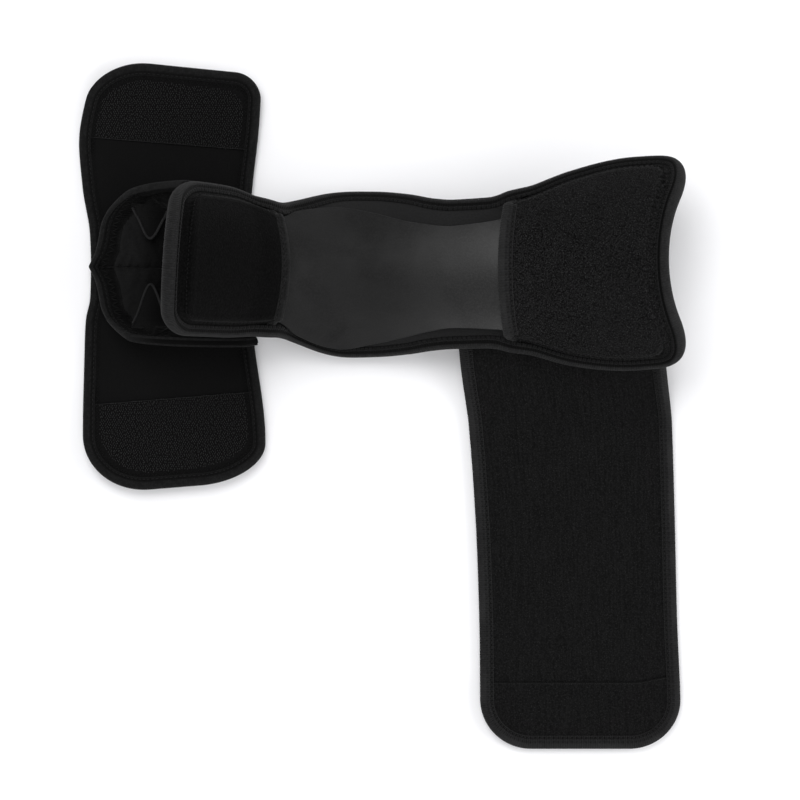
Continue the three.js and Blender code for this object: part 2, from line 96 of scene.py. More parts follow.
# Pockets: rise over the shell, further rise near the mouth and where it fades, and tuck inside the edge tape
POCKET_RISE = 3.3
MOUTH_RISE = 1.6
MOUTH_RUN = (7.0, 24.0)
POCKET_TUCK = 1.6
POCKET_SIDE_TUCK = 0.9

# Hem of a pocket and ridge of the shell, in from the liner's edge, thickness of its thread, and its gathers
HEM_ROUND = 20.0
HEM_FROM = (7.0, 9.4)
HEM_TO = 15.0
HEM_STITCH = 11.6
HEM_THREAD = 1.4
SHELL_RIDGE = 16.6
GATHER_LENGTH = 3.4

# Edge tapes: pressed band, height of its stitches, shadow line, roll, lap underneath, and steps along them
TAPE_PRESS = 2.6
TAPE_BAND = 0.5
TAPE_CREASE = 2.6
TAPE_ROLL = 3.4
TAPE_UNDER = 5.2
TAPE_STEP = 1.0
CORD_STEP = 0.8

# Edge tapes of the pockets' mouths: lap of each, roll and lap underneath
TOE_TAPE = 6.2
CALF_TAPE = 7.8
MOUTH_ROLL = 2.2
MOUTH_UNDER = 3.0

# Edge tape of the liner: its section, and its laps at toe and calf, along a pocket and beside the shell
LINER_TAPE = 7.0
LINER_ROLL = 4.2
LINER_END_LAPS = (6.0, 7.2)
LINER_POCKET_LAP = 8.8
LINER_OPEN_LAPS = (5.6, 10.4)
SHELL_ROOM = 1.2

# Stations of the trough: radius, half widths along the arc, and sideways drifts, by run
STATIONS = {
    "run": (-137, -75, -44, -30, -8, 10, 30, 45, 60, 98, 130, 160, 192),
    "radius": (60, 60, 60, 60.5, 61.5, 61.3, 61, 61.5, 62, 68, 76, 80, 80),
    "liner": (49.6, 49.5, 43.8, 49.0, 60.5, 61.3, 58.2, 53.9, 52.0, 53.5, 66.0, 73.0, 73.0),
    "shell": (32.5, 33.0, 32.4, 40.0, 46.3, 42.2, 36.6, 33.2, 31.3, 35.2, 43.0, 49.0, 50.0),
    "lean": (5.0, 4.2, 0.9, 0.1, -0.6, -0.5, -0.8, -1.3, -1.4, -0.1, 1.7, 3.9, 5.7),
    "shift": (0.0, 0.0, -0.8, -1.8, -4.3, -4.4, -4.6, -3.5, -2.9, -2.4, 0.0, 0.0, 0.0),
}

# Foot wrap: its place, the curl of its ends, its two long edges by run, its slanted ends and its zigzag
WRAP_Y = 79.0
WRAP_LIFT = 1.2
WRAP_FLAT_RUN = 70.0
WRAP_CURL_RUN = 72.0
WRAP_CURL = 7.0
WRAP_ROWS = {
    "run": (-134, -90, -55, -26, 15, 28, 50, 95, 134),
    "left": (-189, -200, -198.4, -193.8, -193.6, -196.2, -197.2, -198, -197),
    "right": (-87, -90, -94, -96, -96.4, -95, -92, -86, -86),
}
WRAP_UPPER = {"run": -129.0, "slant": 5.0, "left": (0.35, 24.0), "right": (0.7, 15.0)}
WRAP_LOWER = {"run": 133.0, "slant": -4.5, "left": (0.27, 36.0), "right": (0.3, 22.0)}
WRAP_ZIGZAG = {"pitch": 2.2, "radius": 0.25, "slant": 2.4}
WRAP_ZIGZAG_GAP = 1.5

# Hook fields: the line where each begins, its woven ground, the place that hooks are scattered on, and a hook
HOOK_UPPER = -82.0
HOOK_LOWER = 78.0
HOOK_SLANT = 4.0
HOOK_GROUND = 0.6
HOOK_RUNS = (-134.0, 134.0)
HOOK_ACROSSES = (-200.0, -84.0)
HOOK_SCATTER = 0.2
HOOK_RADIUS = 0.23
HOOK_BEND = 0.8
HOOK_SEEDS = {"upper": 7, "lower": 8}

# Calf strap: its two long edges by run, its seam on the liner, its fall, its end and its end panel
STRAP_ROWS = {
    "run": (0, 45, 110, 175, 225, 265),
    "left": (37.5, 43.5, 48.5, 51.0, 51.5, 51.5),
    "right": (167.0, 169.5, 171.5, 173.0, 175.0, 175.0),
}
STRAP_SEAM = (62.0, 187.0)
STRAP_SEAM_INSET = 9.0
STRAP_UNDER_LINER = 11.1
STRAP_LANDING_Y = -14.0
STRAP_DROP_RUN = 52.0
STRAP_PULL = 42.0
STRAP_LIFT = 1.2
STRAP_END = 256.0
STRAP_CORNER = (0.5, 30.0)
STRAP_PATCH_RUN = 216.0
STRAP_PATCH_WALL = 0.8
STRAP_PATCH_DRAW = 3.4

# Sling under the sole: front and heel values in pairs, then its form, then upper and lower values in pairs
SLING_Y = (83.5, 82.0)
SLING_HEIGHT = (37.0, 34.8)
SLING_FLOOR = 9.4
SLING_FRONT_WIDTH = 47.4
SLING_TIP = -194.0
SLING_NOSE = 43.0
SLING_SIDE_FROM = 0.7
SLING_HEEL_FLOOR = -100.0
SLING_SQUARE = 0.77
SLING_PINCH = 4.0
SLING_PUFF = 1.6
SLING_SEAM = 0.0006
SLING_RIM_TOP = (-130.0, -94.0)
SLING_HEEL_TOP = (-113.0, -87.0)
SLING_HEEL_WIDTH = (41.5, 44.5)

# Rim of the sling: its tape's lap, roll and lap underneath, its turn at the top, hem band, ribs and zigzag
SLING_TAPE = (5.4, 3.2, 5.0)
SLING_TURN = (0.16, 0.06)
SLING_HEM = 12.5
SLING_RIBS = 38.0
SLING_ZIGZAG = {"pitch": 2.4, "radius": 0.3, "slant": 5.0}
SLING_ZIGZAG_INSET = 8.6

# Lining tabs: place, half width, the shares of the sling's side where each begins and ends, curl and wall
TAB_X = -155.0
TAB_HALF = 11.0
TAB_BASE = 0.57
TAB_REACH = (0.2, 0.11)
TAB_CURL = 6.0
TAB_WALL = 1.2

# Tip of a tab: its roundness, about the root of that and the rise to the root of 1 more, taper and piping
TAB_TIP = 0.4
TAB_TIP_ROOT = 0.6325
TAB_TIP_RISE = 0.5507
TAB_TAPER = 0.9
TAB_PIPING = 0.95

# Settings of the cloth solver, which works at this many times life size
SOLVER_SIZE = 10
SOLVER = {
    "quality": 6,
    "mass": 0.2,
    "tension_stiffness": 10.0,
    "compression_stiffness": 10.0,
    "shear_stiffness": 4.0,
    "bending_stiffness": 0.3,
    "vertex_group_mass": "held",
    "shrink_min": -0.05,
    "use_pressure": True,
    "uniform_pressure_force": 4.0,
}

# Grids: rows along the run, width share where the corners begin, and steps between them and round each
GRIDS = {
    "shell": (170, 0.72, 30, 10),
    "liner": (165, 0.74, 40, 12),
    "liner_edge": (331, 0.7, 50, 16),
    "pocket": (140, 0.72, 140, 26),
    "wrap": (130, 0.32, 24, 20),
    "wrap_edge": (261, 0.32, 30, 40),
    "hook_ground": (40, 0.32, 20, 16),
    "strap": (150, 0.5, 32, 14),
    "strap_edge": (240, 0.5, 40, 30),
    "strap_end": (40, 0.5, 30, 12),
}

# Stage, in metres: half the table, its drop, light all round, and softboxes by place, aim, size and power
TABLE_HALF = 3.0
TABLE_DROP = 0.0005
WORLD_LIGHT = 0.55
SOFTBOXES = (
    ("back_softbox", (-0.24, 0.64, 1.08), (0.06, 0.09, 0.05), 0.8, 8.0),
    ("front_softbox", (-0.1, -1.3, 0.75), (0.03, 0.0, 0.0), 1.0, 8.0),
    ("left_softbox", (-1.25, 0.1, 0.85), (-0.1, 0.05, 0.0), 0.9, 1.5),
    ("right_softbox", (1.4, 0.0, 0.6), (0.2, 0.05, 0.0), 0.9, 12.0),
)

# Camera: its height, the width of table that it sees, and its sensor
CAMERA_HEIGHT = 1300.0
CAMERA_VIEW = 504.0
CAMERA_SENSOR = 36.0


# Numbers

def smooth(x, a, b):
    """Eased step: 0 up to a, 1 from b, and 3t^2 - 2t^3 between them."""
    t = np.clip((x - a) / (b - a), 0.0, 1.0)
    return t * t * (3.0 - 2.0 * t)


def hump(x, middle, width):
    """Round hump of height 1 at middle: half of one plus a cosine, and 0 beyond width on either side."""
    return 0.5 + 0.5 * np.cos(np.pi * np.clip(np.abs(x - middle) / width, 0.0, 1.0))


def mix(a, b, t):
    """Straight mix from a to b."""
    return a + (b - a) * t


def unit(vectors):
    """Vectors scaled to length 1."""
    return vectors / np.maximum(np.linalg.norm(vectors, axis=-1, keepdims=True), 1e-12)


def lengths_along(points):
    """Length along a line of points up to each of them, from 0."""
    return np.concatenate([[0.0], np.cumsum(np.linalg.norm(np.diff(points, axis=0), axis=1))])


def cubic_weights(h):
    """Weights of a cubic's two ends and of its slopes at them, by the share h of the way."""
    return 2 * h**3 - 3 * h**2 + 1, 3 * h**2 - 2 * h**3, h**3 - 2 * h**2 + h, h**3 - h**2


def curve(table, key):
    """Smooth curve through one column of a table by its run: a cubic between each two rows, whose slope at a
    row is the rise between its neighbours over the run between them."""
    runs = np.array(table["run"], float)
    values = np.array(table[key], float)
    before = np.maximum(np.arange(len(runs)) - 1, 0)
    after = np.minimum(np.arange(len(runs)) + 1, len(runs) - 1)
    slopes = (values[after] - values[before]) / (runs[after] - runs[before])

    def at(run):
        x = np.clip(run, runs[0], runs[-1])
        i = np.clip(np.searchsorted(runs, x, side="right") - 1, 0, len(runs) - 2)
        span = runs[i + 1] - runs[i]
        first, last, out, into = cubic_weights((x - runs[i]) / span)
        rise = values[i] * first + values[i + 1] * last
        return rise + span * (slopes[i] * out + slopes[i + 1] * into)

    return at


def corner_draw(v, corner):
    """How far a rounded corner draws an end back at the width share v: a quarter ellipse past corner[0]."""
    w = np.clip((np.abs(v) - corner[0]) / (1.0 - corner[0]), 0.0, 1.0)
    return corner[1] * (1.0 - np.sqrt(1.0 - w * w))


def cornered(start, middle_steps, corner_steps):
    """Width shares from -1 to 1: even between the corners, and even by angle round each corner."""
    turn = np.linspace(0.0, np.pi / 2, corner_steps + 1)[1:]
    corner = start + (1.0 - start) * np.sin(turn)
    return np.concatenate([-corner[::-1], np.linspace(-start, start, middle_steps + 1), corner])


def grid(name, first=0.0):
    """Run shares, from first to 1, and width shares of a named grid."""
    rows, *corners = GRIDS[name]
    return np.linspace(first, 1, rows), cornered(*corners)


def run_line(us, v):
    """[u, v] shares along the run, at one width share."""
    return np.stack([us, np.full_like(us, v)], -1)


def width_line(u, vs):
    """[u, v] shares across the width, at one run share."""
    return np.stack([np.full_like(vs, u), vs], -1)


def around(us, vs):
    """Closed outline of a pattern piece as [u, v] shares, with the piece on the left."""
    sides = run_line(us, -1.0), width_line(1.0, vs), run_line(us[::-1], 1.0), width_line(0.0, vs[::-1])
    return np.concatenate([side[:-1] for side in sides])


def level(value):
    """A lift that is the same everywhere."""
    return lambda run, across: value + 0.0 * (run + across)


def above(lift, by):
    """A lift that is higher than another by the same everywhere."""
    return lambda run, across: lift(run, across) + by


def none(*_):
    """A line that is 0 everywhere."""
    return 0.0


# Surfaces

class Sheet:
    """A surface of run and across with a pattern piece on it: start and end runs by width share, a middle
    line and a half width by run. Its normal points away from the leg, or up. cloth holds the millimetres of
    cloth for one unit of run and of across, and turn is -1 where the pattern is a mirror image."""

    def __init__(self, surface, start, end, middle, half, steps=(0.05, 0.05), cloth=(1.0, 1.0), turn=1):
        self.surface = surface
        self.start = start
        self.end = end
        self.middle = middle
        self.half = half
        self.steps = steps
        self.cloth = cloth
        self.turn = turn

    def slopes(self, run, across):
        """Change of place for one unit of run and of across, by central differences."""
        p, q = self.steps
        a = (self.surface(run + p, across) - self.surface(run - p, across)) / (2 * p)
        b = (self.surface(run, across + q) - self.surface(run, across - q)) / (2 * q)
        return a, b

    def at(self, run, across, lift):
        """Point of the surface moved by lift along its normal."""
        run, across, lift = np.broadcast_arrays(*(np.asarray(x, float) for x in (run, across, lift)))
        a, b = self.slopes(run, across)
        return self.surface(run, across) + unit(np.cross(a, b)) * lift[..., None]

    def place(self, u, v):
        """Run and across at the shares u, from start to end, and v, from edge to edge."""
        run = mix(self.start(v), self.end(v), u)
        return run, self.middle(run) + v * self.half(run)

    def cloth_at(self, run, across):
        """Cloth coordinates in metres."""
        run, across = np.broadcast_arrays(run, across)
        return np.stack([run * self.cloth[0], across * self.cloth[1]], -1) * MM + 0.5


class Edge:
    """An outline on a sheet, followed by its length. Inset goes inwards along the surface from the
    outline."""

    def __init__(self, on, shares, closed):
        self.on = on
        self.closed = closed
        run, across = on.place(*shares.T)
        spots = on.at(run, across, 0.0)
        if closed:
            along = np.roll(spots, -1, 0) - np.roll(spots, 1, 0)
        else:
            along = np.gradient(spots, axis=0)
        a, b = on.slopes(run, across)
        inward = unit(np.cross(unit(np.cross(a, b)), along)) * on.turn
        run_step = (inward * a).sum(-1) / (a * a).sum(-1)
        across_step = (inward * b).sum(-1) / (b * b).sum(-1)
        table = np.stack([run, across, run_step, across_step], -1)
        if closed:
            table = np.concatenate([table, table[:1]])
            spots = np.concatenate([spots, spots[:1]])
        self.lengths = lengths_along(spots)
        self.total = self.lengths[-1]
        self.table = table

    def row(self, s):
        """Run, across and the steps of both for one millimetre inwards, at length s."""
        s = np.mod(s, self.total) if self.closed else np.clip(s, 0.0, self.total)
        return [np.interp(s, self.lengths, column) for column in self.table.T]

    def at(self, s, inset, lift):
        """Point at length s, inset millimetres in and lift millimetres up."""
        run, across, run_step, across_step = self.row(s)
        return self.on.at(run + inset * run_step, across + inset * across_step, lift)

    def span(self, inside):
        """First and last length of the stretch where inside(run) holds, which may pass the outline's
        start."""
        lengths, held = self.lengths, inside(self.table[:, 0])
        if held[0] and held[-1]:
            gap = lengths[~held]
            return gap[-1], self.total + gap[0]
        return lengths[held][0], lengths[held][-1]

    def even(self, step):
        """Even lengths along the outline, about step apart."""
        count = max(int(self.total / step), 8)
        return np.linspace(0.0, self.total, count, endpoint=not self.closed)


# Meshes

def grid_quads(rows, cols, wrap_rows=False, wrap_cols=False):
    """Corner indices of the quads of a grid, which may close on itself either way."""
    i = np.arange(rows if wrap_rows else rows - 1)[:, None]
    j = np.arange(cols if wrap_cols else cols - 1)[None, :]
    i2, j2 = (i + 1) % rows, (j + 1) % cols
    corners = i * cols + j, i2 * cols + j, i2 * cols + j2, i * cols + j2
    return np.stack(np.broadcast_arrays(*corners), -1).reshape(-1, 4)


def border(rows, cols):
    """Indices once round the edge of a grid, in the order of around()."""
    i, j = np.arange(rows), np.arange(cols)
    return np.concatenate([i[:-1] * cols, (rows - 1) * cols + j[:-1], i[:0:-1] * cols + cols - 1, j[:0:-1]])


class Piece:
    """Closed shells that become one mesh, with cloth coordinates at the corners of the faces."""

    def __init__(self):
        self.points, self.quads, self.cloth, self.slots = [], [], [], []
        self.count = 0

    def add(self, points, quads, cloth, slot=0):
        """Add one closed shell, or many like ones, turned so that its volume is positive."""
        p = points[quads]
        diagonals = np.cross(p[:, 2] - p[:, 0], p[:, 3] - p[:, 1])
        if (diagonals * p.mean(1)).sum() < 0:
            quads, cloth = quads[:, ::-1], cloth[:, ::-1]
        self.points.append(points)
        self.quads.append(quads + self.count)
        self.cloth.append(cloth)
        self.slots.append(np.full(len(quads), slot))
        self.count += len(points)

    def make(self, name, kinds, slot, *nodes):
        """Put the shells into a new object with finishes of these kinds, which rides on the body and stands
        for its nodes."""
        points = (np.concatenate(self.points) + PLAN_TO_PART) * MM
        quads = np.concatenate(self.quads).astype(np.int32)
        mesh = bpy.data.meshes.new(name)
        mesh.vertices.add(len(points))
        mesh.vertices.foreach_set("co", points.astype(np.float32).ravel())
        mesh.loops.add(quads.size)
        mesh.loops.foreach_set("vertex_index", quads.ravel())
        mesh.polygons.add(len(quads))
        mesh.polygons.foreach_set("loop_start", np.arange(0, quads.size, 4, dtype=np.int32))
        mesh.polygons.foreach_set("use_smooth", np.ones(len(quads), bool))
        mesh.polygons.foreach_set("material_index", np.concatenate(self.slots).astype(np.int32))
        mesh.update(calc_edges=True)
        layer = mesh.uv_layers.new(name="Cloth")
        layer.data.foreach_set("uv", np.concatenate(self.cloth).astype(np.float32).ravel())
        for kind in kinds:
            mesh.materials.append(finishes()[kind])
        if mesh.validate():
            raise RuntimeError(f"{name} has faces that can't be used")
        obj = bpy.data.objects.new(name, mesh)
        bpy.context.scene.collection.objects.link(obj)
        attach(obj, BODY)
        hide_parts(*nodes)
        return obj


def add_wall(piece, on, us, vs, lower, upper, rim=0.0, rim_rows=3, moved=None, marked=None):
    """A wall on a sheet between two lifts, each a function of run and across. Its rim is half an ellipse
    that stands out by rim. moved, where given, is added to the points of the upper side, and the faces that
    begin at marked ones of them have the second finish."""
    u, v = np.meshgrid(us, vs, indexing="ij")
    run, across = on.place(u, v)
    top = on.at(run, across, upper(run, across))
    bottom = on.at(run, across, lower(run, across))
    if moved is not None:
        top = top + moved
    rows, cols = u.shape
    edge = border(rows, cols)
    flat_top, flat_bottom = top.reshape(-1, 3), bottom.reshape(-1, 3)
    middle = (flat_top + flat_bottom)[edge] / 2
    half = (flat_top - flat_bottom)[edge] / 2
    along = np.roll(middle, -1, 0) - np.roll(middle, 1, 0)
    outward = unit(np.cross(along, half)) * on.turn
    angle = np.linspace(np.pi / 2, -np.pi / 2, rim_rows + 2)[1:-1, None, None]
    bulge = middle + half * np.sin(angle) + outward * rim * np.cos(angle)
    cloth = on.cloth_at(run, across).reshape(-1, 2)
    size = rows * cols
    count = len(edge)
    rings = np.concatenate([
        edge[None],
        2 * size + np.arange(rim_rows * count).reshape(rim_rows, count),
        size + edge[None],
    ])
    index = grid_quads(rim_rows + 2, count, wrap_cols=True)
    rim_quads = rings.ravel()[index]
    depth = np.linalg.norm(half, axis=1) * MM
    slide = np.linspace(0, 1, rim_rows + 2)[:, None, None] * (depth[:, None] * [0.7, 0.7])[None]
    rim_cloth = (cloth[edge][None] + slide).reshape(-1, 2)
    faces = grid_quads(rows, cols)
    points = np.concatenate([flat_top, flat_bottom, bulge.reshape(-1, 3)])
    quads = np.concatenate([faces, size + faces[:, ::-1], rim_quads[:, ::-1]])
    corners = np.concatenate([cloth[faces], cloth[faces[:, ::-1]], rim_cloth[index][:, ::-1]])
    slots = np.zeros(len(quads))
    if marked is not None:
        slots[:len(faces)] = marked.ravel()[faces[:, 0]]
    piece.add(points, quads, corners, slots)


def tape_profile(lap, roll, under):
    """Section of a folded edge tape as rows of inset, lift in millimetres from the wall's top or bottom,
    and the share of the way from its bottom to its top: a lap that is pressed down along its sewn band, a
    full roll round the edge, and a lap underneath. The inner rows are set in by the tape's thickness."""
    out = GAP + TAPE_WALL
    band = lap - TAPE_PRESS
    crown = (band - 0.7 + roll - out) / 2
    insets = (lap, lap - 0.3, lap - TAPE_PRESS / 2, band + 0.4, band - 0.7, crown)
    angle = np.linspace(np.pi / 2, -np.pi / 2, 15)
    rise = 0.5 + 0.5 * np.sin(angle)

    def side(lifts, reach, height, low):
        top = [(x, y, 1.0) for x, y in zip(insets, lifts)]
        turn = np.stack([roll - out - reach * np.cos(angle), np.sin(angle) * height, rise], -1)
        return np.array(top + turn.tolist() + [(under - 2.0, low[0], 0.0), (under, low[1], 0.0)])

    outer = side((0.15, 0.5, 0.66, 0.3, 1.25, 1.5), roll, out, (-1.15, -1.1))
    inner = side((0.06, 0.1, 0.1, 0.12, 0.3, 0.45), roll - TAPE_WALL, 0.22, (-0.2, -0.2))
    return outer, inner


def add_tape(piece, edge, low, high, lap, roll, under, wide):
    """An edge tape carried along an edge between the lifts low and high, functions of run and across. wide,
    unless None, is the lap by length along the edge. The cloth length is measured in whole stitches."""
    outer, inner = tape_profile(lap, roll, under)
    profile = np.concatenate([outer, inner[::-1]])
    s = edge.even(TAPE_STEP)
    run, across, run_step, across_step = (x[:, None] for x in edge.row(s))
    inset, share = profile[None, :, 0], profile[None, :, 2]
    if wide is not None:
        turn = roll - GAP - TAPE_WALL
        stretch = (wide(s)[:, None] - turn) / (lap - turn)
        inset = np.where((inset > turn) & (share == 1.0), turn + (inset - turn) * stretch, inset)
    base = mix(low(run, across), high(run, across), share)
    points = edge.on.at(run + inset * run_step, across + inset * across_step, base + profile[None, :, 1])
    rows, cols = points.shape[:2]
    width = lengths_along(profile[:, :2])
    width = np.append(width, width[-1] + 0.5)
    pitch = sizes()["stitch_pitch"]
    stitches = max(int(edge.total / pitch), 2)
    length = (np.append(s, edge.total) if edge.closed else s) * stitches * pitch / edge.total
    cloth = np.stack(np.meshgrid(length, width, indexing="ij"), -1) * MM
    flat = grid_quads(rows, cols, edge.closed, True)
    quads, corners = [flat], [cloth.reshape(-1, 2)[grid_quads(len(length), cols + 1)]]
    if not edge.closed:
        j = np.arange(len(outer) - 1)
        cap = np.stack([j, j + 1, cols - 2 - j, cols - 1 - j], -1)
        for row, turned in ((0, cap), (rows - 1, cap[:, ::-1])):
            quads.append(turned + row * cols)
            corners.append(cloth[row, :-1][turned])
    piece.add(points.reshape(-1, 3), np.concatenate(quads), np.concatenate(corners))


def add_threads(piece, paths, ups, radius, slot, thin=0.35):
    """Many like threads: a four-sided tube round each path, with rows of points along it, thin at both
    ends."""
    count, rings = paths.shape[:2]
    tangent = unit(np.gradient(paths, axis=1))
    side = unit(np.cross(tangent, ups))
    up = np.cross(side, tangent)
    taper = thin + (1.0 - thin) * np.sin(np.linspace(0, np.pi, rings)) ** 0.5
    angle = np.arange(4) * np.pi / 2 + np.pi / 4
    ring = side[:, :, None] * np.cos(angle)[:, None] + up[:, :, None] * np.sin(angle)[:, None]
    points = paths[:, :, None] + ring * (radius * taper)[None, :, None, None]
    quads = grid_quads(rings, 4, wrap_cols=True)
    last = rings * 4 - 4
    quads = np.concatenate([quads, [[3, 2, 1, 0], [last, last + 1, last + 2, last + 3]]])
    every = (quads[None] + np.arange(count)[:, None, None] * rings * 4).reshape(-1, 4)
    length = lengths_along(paths[0]) * MM
    cloth = np.stack(np.meshgrid(length, np.linspace(0, 0.002, 4), indexing="ij"), -1)
    one = cloth.reshape(-1, 2)[quads]
    piece.add(points.reshape(-1, 3), every, np.tile(one, (count, 1, 1)), slot)


def add_stitches(piece, edge, inset, lift, pitch, length, radius, slot, span=None, slant=0.0):
    """A row of stitches along an edge: each is a short thread that rises from the cloth and dives back into
    it, with the lift a function of run and across, and the inset a number or a function of length. slant
    moves its far end inwards, for a zigzag."""
    first, last = span or (0.0, edge.total)
    count = max(int((last - first) / pitch), 2)
    t = np.linspace(-1.0, 1.0, 5)[None]
    s = first + (np.arange(count)[:, None] + 0.5) * (last - first) / count
    sign = np.where(np.arange(count) % 2, 1.0, -1.0)[:, None]
    s = s + t * length / 2
    run, across, run_step, across_step = edge.row(s)
    inward = (inset(s) if callable(inset) else inset) + slant * sign * t / 2
    run, across = run + inward * run_step, across + inward * across_step
    height = lift(run, across) + radius * (1.0 - 2.2 * t**4)
    paths = edge.on.at(run, across, height)
    ups = unit(edge.on.at(run, across, height + 0.5) - paths)
    add_threads(piece, paths, ups, radius, slot)


def add_cord(piece, edge, inset, lift, radius, slot):
    """One thin cord along an edge, at an inset and a lift from the sheet."""
    s = edge.even(CORD_STEP)
    paths = edge.at(s, inset, lift)[None]
    ups = unit(edge.at(s, inset, lift + 0.5)[None] - paths)
    add_threads(piece, paths, ups, radius, slot, thin=1.0)


def sew(piece, edge, inset, lift, span=None, thick=1.0):
    """A row of stitches of the set pitch and thread, in the piece's second finish."""
    size = sizes()
    pitch, length, radius = size["stitch_pitch"], size["stitch_length"], size["thread_radius"]
    add_stitches(piece, edge, inset, lift, pitch, length, radius * thick, 1, span)


def zigzag(piece, edge, inset, lift, row):
    """A zigzag row of stitches that meet end to end, in the piece's third finish."""
    pitch = row["pitch"]
    add_stitches(piece, edge, inset, lift, pitch, pitch, row["radius"], 2, slant=row["slant"])


def sewn_tape(piece, edge, low, high, lap, roll=TAPE_ROLL, under=TAPE_UNDER, wide=None):
    """An edge tape, and the row of stitches along the middle of its pressed band."""
    add_tape(piece, edge, low, high, lap, roll, under, wide)
    band = lap - TAPE_PRESS / 2
    turn = roll - GAP - TAPE_WALL
    share = (band - turn) / (lap - turn)
    inset = band if wide is None else lambda s: mix(turn, wide(s), share)
    sew(piece, edge, inset, above(high, TAPE_BAND))


# The splint's own surfaces

radius_at = curve(STATIONS, "radius")
liner_half = curve(STATIONS, "liner")
shell_half = curve(STATIONS, "shell")
lean_at = curve(STATIONS, "lean")
shift_at = curve(STATIONS, "shift")
wrap_left = curve(WRAP_ROWS, "left")
wrap_right = curve(WRAP_ROWS, "right")
strap_left = curve(STRAP_ROWS, "left")
strap_right = curve(STRAP_ROWS, "right")


def trough(run, across):
    """Outer face of the liner: an arc across the leg, carried along a crown line of a straight foot
    stretch, a round bend and a straight shin stretch."""
    turn = np.clip(run / BEND_RADIUS, -FOOT_RISE, SHIN_RISE)
    past = run - turn * BEND_RADIUS
    radius = radius_at(run)
    angle = across / radius
    drop = radius * (1.0 - np.cos(angle))
    x = LOW_POINT[0] + BEND_RADIUS * np.sin(turn) + past * np.cos(turn) + drop * np.sin(turn)
    y = SPINE_Y + lean_at(run) + radius * np.sin(angle)
    z = LOW_POINT[1] + BEND_RADIUS * (1.0 - np.cos(turn)) + past * np.sin(turn) - drop * np.cos(turn)
    return np.stack([x, y, z], -1)


def toe_edge(v):
    """Toe end of the liner: a shallow slanted parabola with rounded corners."""
    return TOE_END + TOE_SLANT * v + TOE_SAG * v * v + corner_draw(v, TOE_CORNER)


def calf_edge(v):
    """Calf end of the liner: a hollow parabola with rounded corners."""
    return CALF_END + CALF_SCOOP * v * v - corner_draw(v, CALF_CORNER)


def liner_sheet(inset=0.0):
    """The liner, with its edge drawn in by inset."""
    return Sheet(
        trough,
        lambda v: toe_edge(v) + inset,
        lambda v: calf_edge(v) - inset,
        none,
        lambda run: liner_half(run) - inset,
    )


def liner_edge():
    """Outline of the liner, for its edge tape and for the pockets' hems."""
    return Edge(liner_sheet(), around(*grid("liner_edge")), True)


def shell_sheet(inset):
    """The shell: set in from the liner's ends, with a half width of its own."""
    return Sheet(
        trough,
        lambda v: toe_edge(v * SHELL_SHARE) + SHELL_INSET + inset + corner_draw(v, TOE_CORNER),
        lambda v: calf_edge(v * SHELL_SHARE) - SHELL_INSET - inset - corner_draw(v, SHELL_CORNER),
        shift_at,
        lambda run: shell_half(run) - inset,
    )


def hem_inset(run, across, from_end):
    """Distance in from a pocket's sewn edge, with its corner rounded, and the shares of it that are side and
    end."""
    side = np.maximum(0.0, HEM_ROUND - (liner_half(run) - np.abs(across)))
    end = np.maximum(0.0, HEM_ROUND - from_end)
    away = np.hypot(side, end)
    return HEM_ROUND - away, side / np.maximum(away, 1e-6), end / np.maximum(away, 1e-6)


def pocket_lift(run, across, from_end, from_mouth, gather):
    """Lift of a pocket's underside: flat under the edge tape, then a gathered hem that rises over the shell
    with a sunk stitch line, a soft ridge where the shell's rim presses into it, and a further rise towards
    the mouth."""
    inset, side, end = hem_inset(run, across, from_end)
    height = POCKET_RISE + MOUTH_RISE * (1.0 - smooth(from_mouth, *MOUTH_RUN))
    line = 0.15 * hump(inset, SHELL_RIDGE, 2.2) - 0.55 * hump(inset, HEM_STITCH, 1.4)
    along, around_end = (np.sin(x * 2 * np.pi / GATHER_LENGTH) for x in (run, across))
    wave = side * along + end * around_end
    rise = height * smooth(inset, mix(*HEM_FROM, side * side), HEM_TO)
    return LAYER_GAP + rise + line + gather * wave * hump(inset, HEM_STITCH, GATHER_LENGTH)


def toe_lift(run, across):
    """Lift of the toe pocket's underside."""
    share = np.clip(across / liner_half(run), -1.0, 1.0)
    return pocket_lift(run, across, run - toe_edge(share), TOE_MOUTH - run, 0.14)


def calf_lift(run, across):
    """Lift of the calf pocket's underside, slack in its middle and more gathered towards its far upper
    corner."""
    share = np.clip(across / liner_half(run), -1.0, 1.0)
    gather = 0.22 + 0.7 * smooth(run, 150.0, 180.0) * smooth(across, 5.0, 45.0)
    slack = 0.5 * np.sin(run / 13.0 + across / 29.0) * hump(across, 8.0, 46.0)
    rest = pocket_lift(run, across, calf_edge(share) - run, run - CALF_MOUTH, gather)
    return rest + slack * smooth(run, 115.0, 140.0)


def pocket_sheet(toe):
    """A pocket: from its mouth to the liner's sewn edge, drawn in by a little to sit inside the edge tape."""
    half = lambda run: liner_half(run) - POCKET_SIDE_TUCK
    if toe:
        return Sheet(trough, lambda v: toe_edge(v) + POCKET_TUCK, lambda v: TOE_MOUTH + 0 * v, none, half)
    mouth = lambda v: CALF_MOUTH + CALF_MOUTH_BOW * v * v
    return Sheet(trough, mouth, lambda v: calf_edge(v) - POCKET_TUCK, none, half)


def liner_lap(run, across, side=1.0):
    """Lap of the liner's edge tape, by the share of the edge's turn that faces sideways: narrow at the two
    ends, wide along the sides of the pockets, and between the pockets as wide as the shell leaves room
    for."""
    room = liner_half(run) - shell_half(run) - np.sign(across) * shift_at(run) - SHELL_ROOM
    past_toe = smooth(run, TOE_MOUTH - 4, TOE_MOUTH + 8)
    between = past_toe * (1.0 - smooth(run, CALF_MOUTH_SIDE - 8, CALF_MOUTH_SIDE + 4))
    wide = mix(LINER_POCKET_LAP, np.clip(room, *LINER_OPEN_LAPS), between)
    return mix(np.where(run < 0, *LINER_END_LAPS), wide, side)


